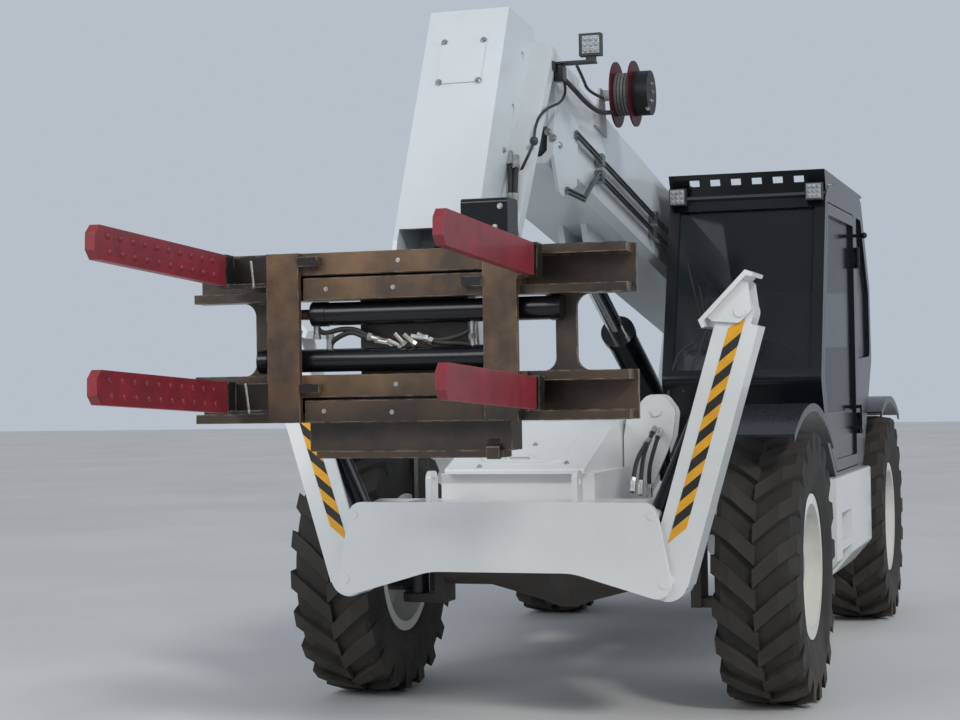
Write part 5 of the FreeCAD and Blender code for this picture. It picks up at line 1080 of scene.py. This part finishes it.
# %% [markdown]
# The operator's seat is foam under a sewn cloth. Two cushions replace its CAD block in the
# picture. Foam this firm keeps its form, so the form is written down instead of simulated: a cube
# with many small faces is rounded like a squared-off ball, crowned where it carries weight,
# pressed in along two sewn channels and drawn in at a seam.

# %% Seat
SEAT_CUTS, SQUARENESS, FILL = 34, 7, 0.6
CHANNEL_DEPTH, CHANNEL_WIDTH, CHANNEL_FADE = 0.010, 0.035, 6
SEAM_AT, SEAM_WIDTH, SEAM_DEPTH, SIDE_STARTS = 0.45, 0.07, 0.018, 0.8
BELL_BASE = 2.718


def bell(distance, width):
    """1 at no distance, falling off smoothly to almost 0 at about twice the width."""
    return BELL_BASE ** (-(distance / width) ** 2)


def cushion_point(cube_point, half, crown, channels):
    """Moves a point of a cube of half size 1 onto the cushion, crowned along its own +Z."""
    u, v, w = cube_point
    scale = (abs(u) ** SQUARENESS + abs(v) ** SQUARENESS + abs(w) ** SQUARENESS) ** (-1 / SQUARENESS)
    u, v, w = u * scale, v * scale, w * scale
    z = w * half[2]
    if w > 0:
        z += crown * (1 - u * u) * (1 - v * v)
        for channel in channels:
            z -= CHANNEL_DEPTH * bell(v - channel, CHANNEL_WIDTH) * max(0, 1 - u ** CHANNEL_FADE)
    on_side = max(abs(u), abs(v)) > SIDE_STARTS
    drawn_in = 1 - SEAM_DEPTH * bell(w - SEAM_AT, SEAM_WIDTH) * on_side
    return Vector((u * half[0] * drawn_in, v * half[1] * drawn_in, z))


def cushion(name, middle, half, crown, channels, tilt=0.0):
    mesh = bpy.data.meshes.new(name)
    form = bmesh.new()
    bmesh.ops.create_cube(form, size=2)
    bmesh.ops.subdivide_edges(form, edges=form.edges[:], cuts=SEAT_CUTS, use_grid_fill=True)
    turn = Matrix.Rotation(tilt, 3, "Y")
    for vert in form.verts:
        vert.co = Vector(middle) + turn @ cushion_point(vert.co, half, crown, channels)
    form.to_mesh(mesh)
    form.free()
    for face in mesh.polygons:
        face.use_smooth = True
    piece = hand_over(bpy.data.objects.new(name, mesh), "chassis", cloth)
    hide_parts("seat")


cushion("seat_cushion", (-1.573, 0.71, 1.440), half=(0.228, 0.225, 0.040), crown=0.022,
        channels=(-0.45, 0.45))
cushion("seat_back", (-1.765, 0.71, 1.765), half=(0.255, 0.205, 0.042), crown=0.020,
        channels=(-0.5, 0.5), tilt=radians(82))

# %% [markdown]
# Two louvred panels on the outer side of the engine's cover let it breathe. The photograph doesn't
# show that side, so they follow what such machines have. A slat is a cylinder laid along X and
# stretched. It keeps that direction, so its tree takes no turn from the points.

# %% Slat
SLAT_SIDES = 14


def slat_tree():
    tree, start, end = tree_with("slat", {"Length": 0.4, "Depth": 0.014, "Height": 0.017})
    rod = new_node(tree, "GeometryNodeMeshCylinder", Vertices=SLAT_SIDES, Radius=HALF, Depth=1.0)
    lay = new_node(tree, "GeometryNodeTransform", Rotation=(0, pi / 2, 0))
    tree.links.new(rod.outputs["Mesh"], lay.inputs["Geometry"])
    section = tree.nodes.new("ShaderNodeCombineXYZ")
    for label, axis in (("Length", "X"), ("Depth", "Y"), ("Height", "Z")):
        tree.links.new(start.outputs[label], section.inputs[axis])
    stretch = tree.nodes.new("GeometryNodeTransform")
    tree.links.new(lay.outputs["Geometry"], stretch.inputs["Geometry"])
    tree.links.new(section.outputs[0], stretch.inputs["Scale"])
    set_on_points(tree, start, end, stretch.outputs["Geometry"], smooth=False, turned=False)
    return tree


SLAT = slat_tree()

# %% [markdown]
# Each panel is a white frame plate on the cover with nine slats in a row up its face. The face's
# place is taken from the cover.

# %% Grille
PANELS_X, PANEL_Z = (-1.45, -0.80), 1.12
PANEL_SIZE, PANEL_BEVEL, PANEL_OUT = (0.46, 0.012, 0.34), 0.004, 0.004
SLATS, LOWEST_SLAT_Z, SLAT_PITCH, SLATS_OUT = 9, 0.99, 0.033, 0.012
cover_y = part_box("engine_cover")[0].y

for k, mid_x in enumerate(PANELS_X):
    block("grille_frame_%d" % k, (mid_x, cover_y - PANEL_OUT, PANEL_Z), PANEL_SIZE, "chassis",
          white, PANEL_BEVEL)
    row = [(Vector((mid_x, cover_y - SLATS_OUT, LOWEST_SLAT_Z + j * SLAT_PITCH)), (0, -1, 0))
           for j in range(SLATS)]
    grow("grille_slats_%d" % k, SLAT, row, "chassis", moulded, Length=0.40, Depth=0.016,
         Height=0.019)

# %% [markdown]
# The machine stands on one large pale sheet with a slow change of tone, as smooth concrete has.
# It isn't part of the object. It lies a millimetre under the tyres,
# so that it never fights with their lowest faces.

# %% Floor
FLOOR_HALF, FLOOR_Z = 60, -0.001
pale_floor = material("pale_floor", (0.66, 0.66, 0.655), (0.60, 0.60, 0.60), rough=0.75,
                      patch=0.35, grain=30.0, bump=0.1)
floor_mesh = bpy.data.meshes.new("floor")
floor_mesh.from_pydata([(x * FLOOR_HALF, y * FLOOR_HALF, FLOOR_Z)
                        for x, y in ((-1, -1), (1, -1), (1, 1), (-1, 1))], [], [(0, 1, 2, 3)])
floor_mesh.materials.append(pale_floor)
floor = bpy.data.objects.new("floor", floor_mesh)
show(floor)
print("floor", 2 * FLOOR_HALF, "m square")

# %% [markdown] The floor is the last piece.
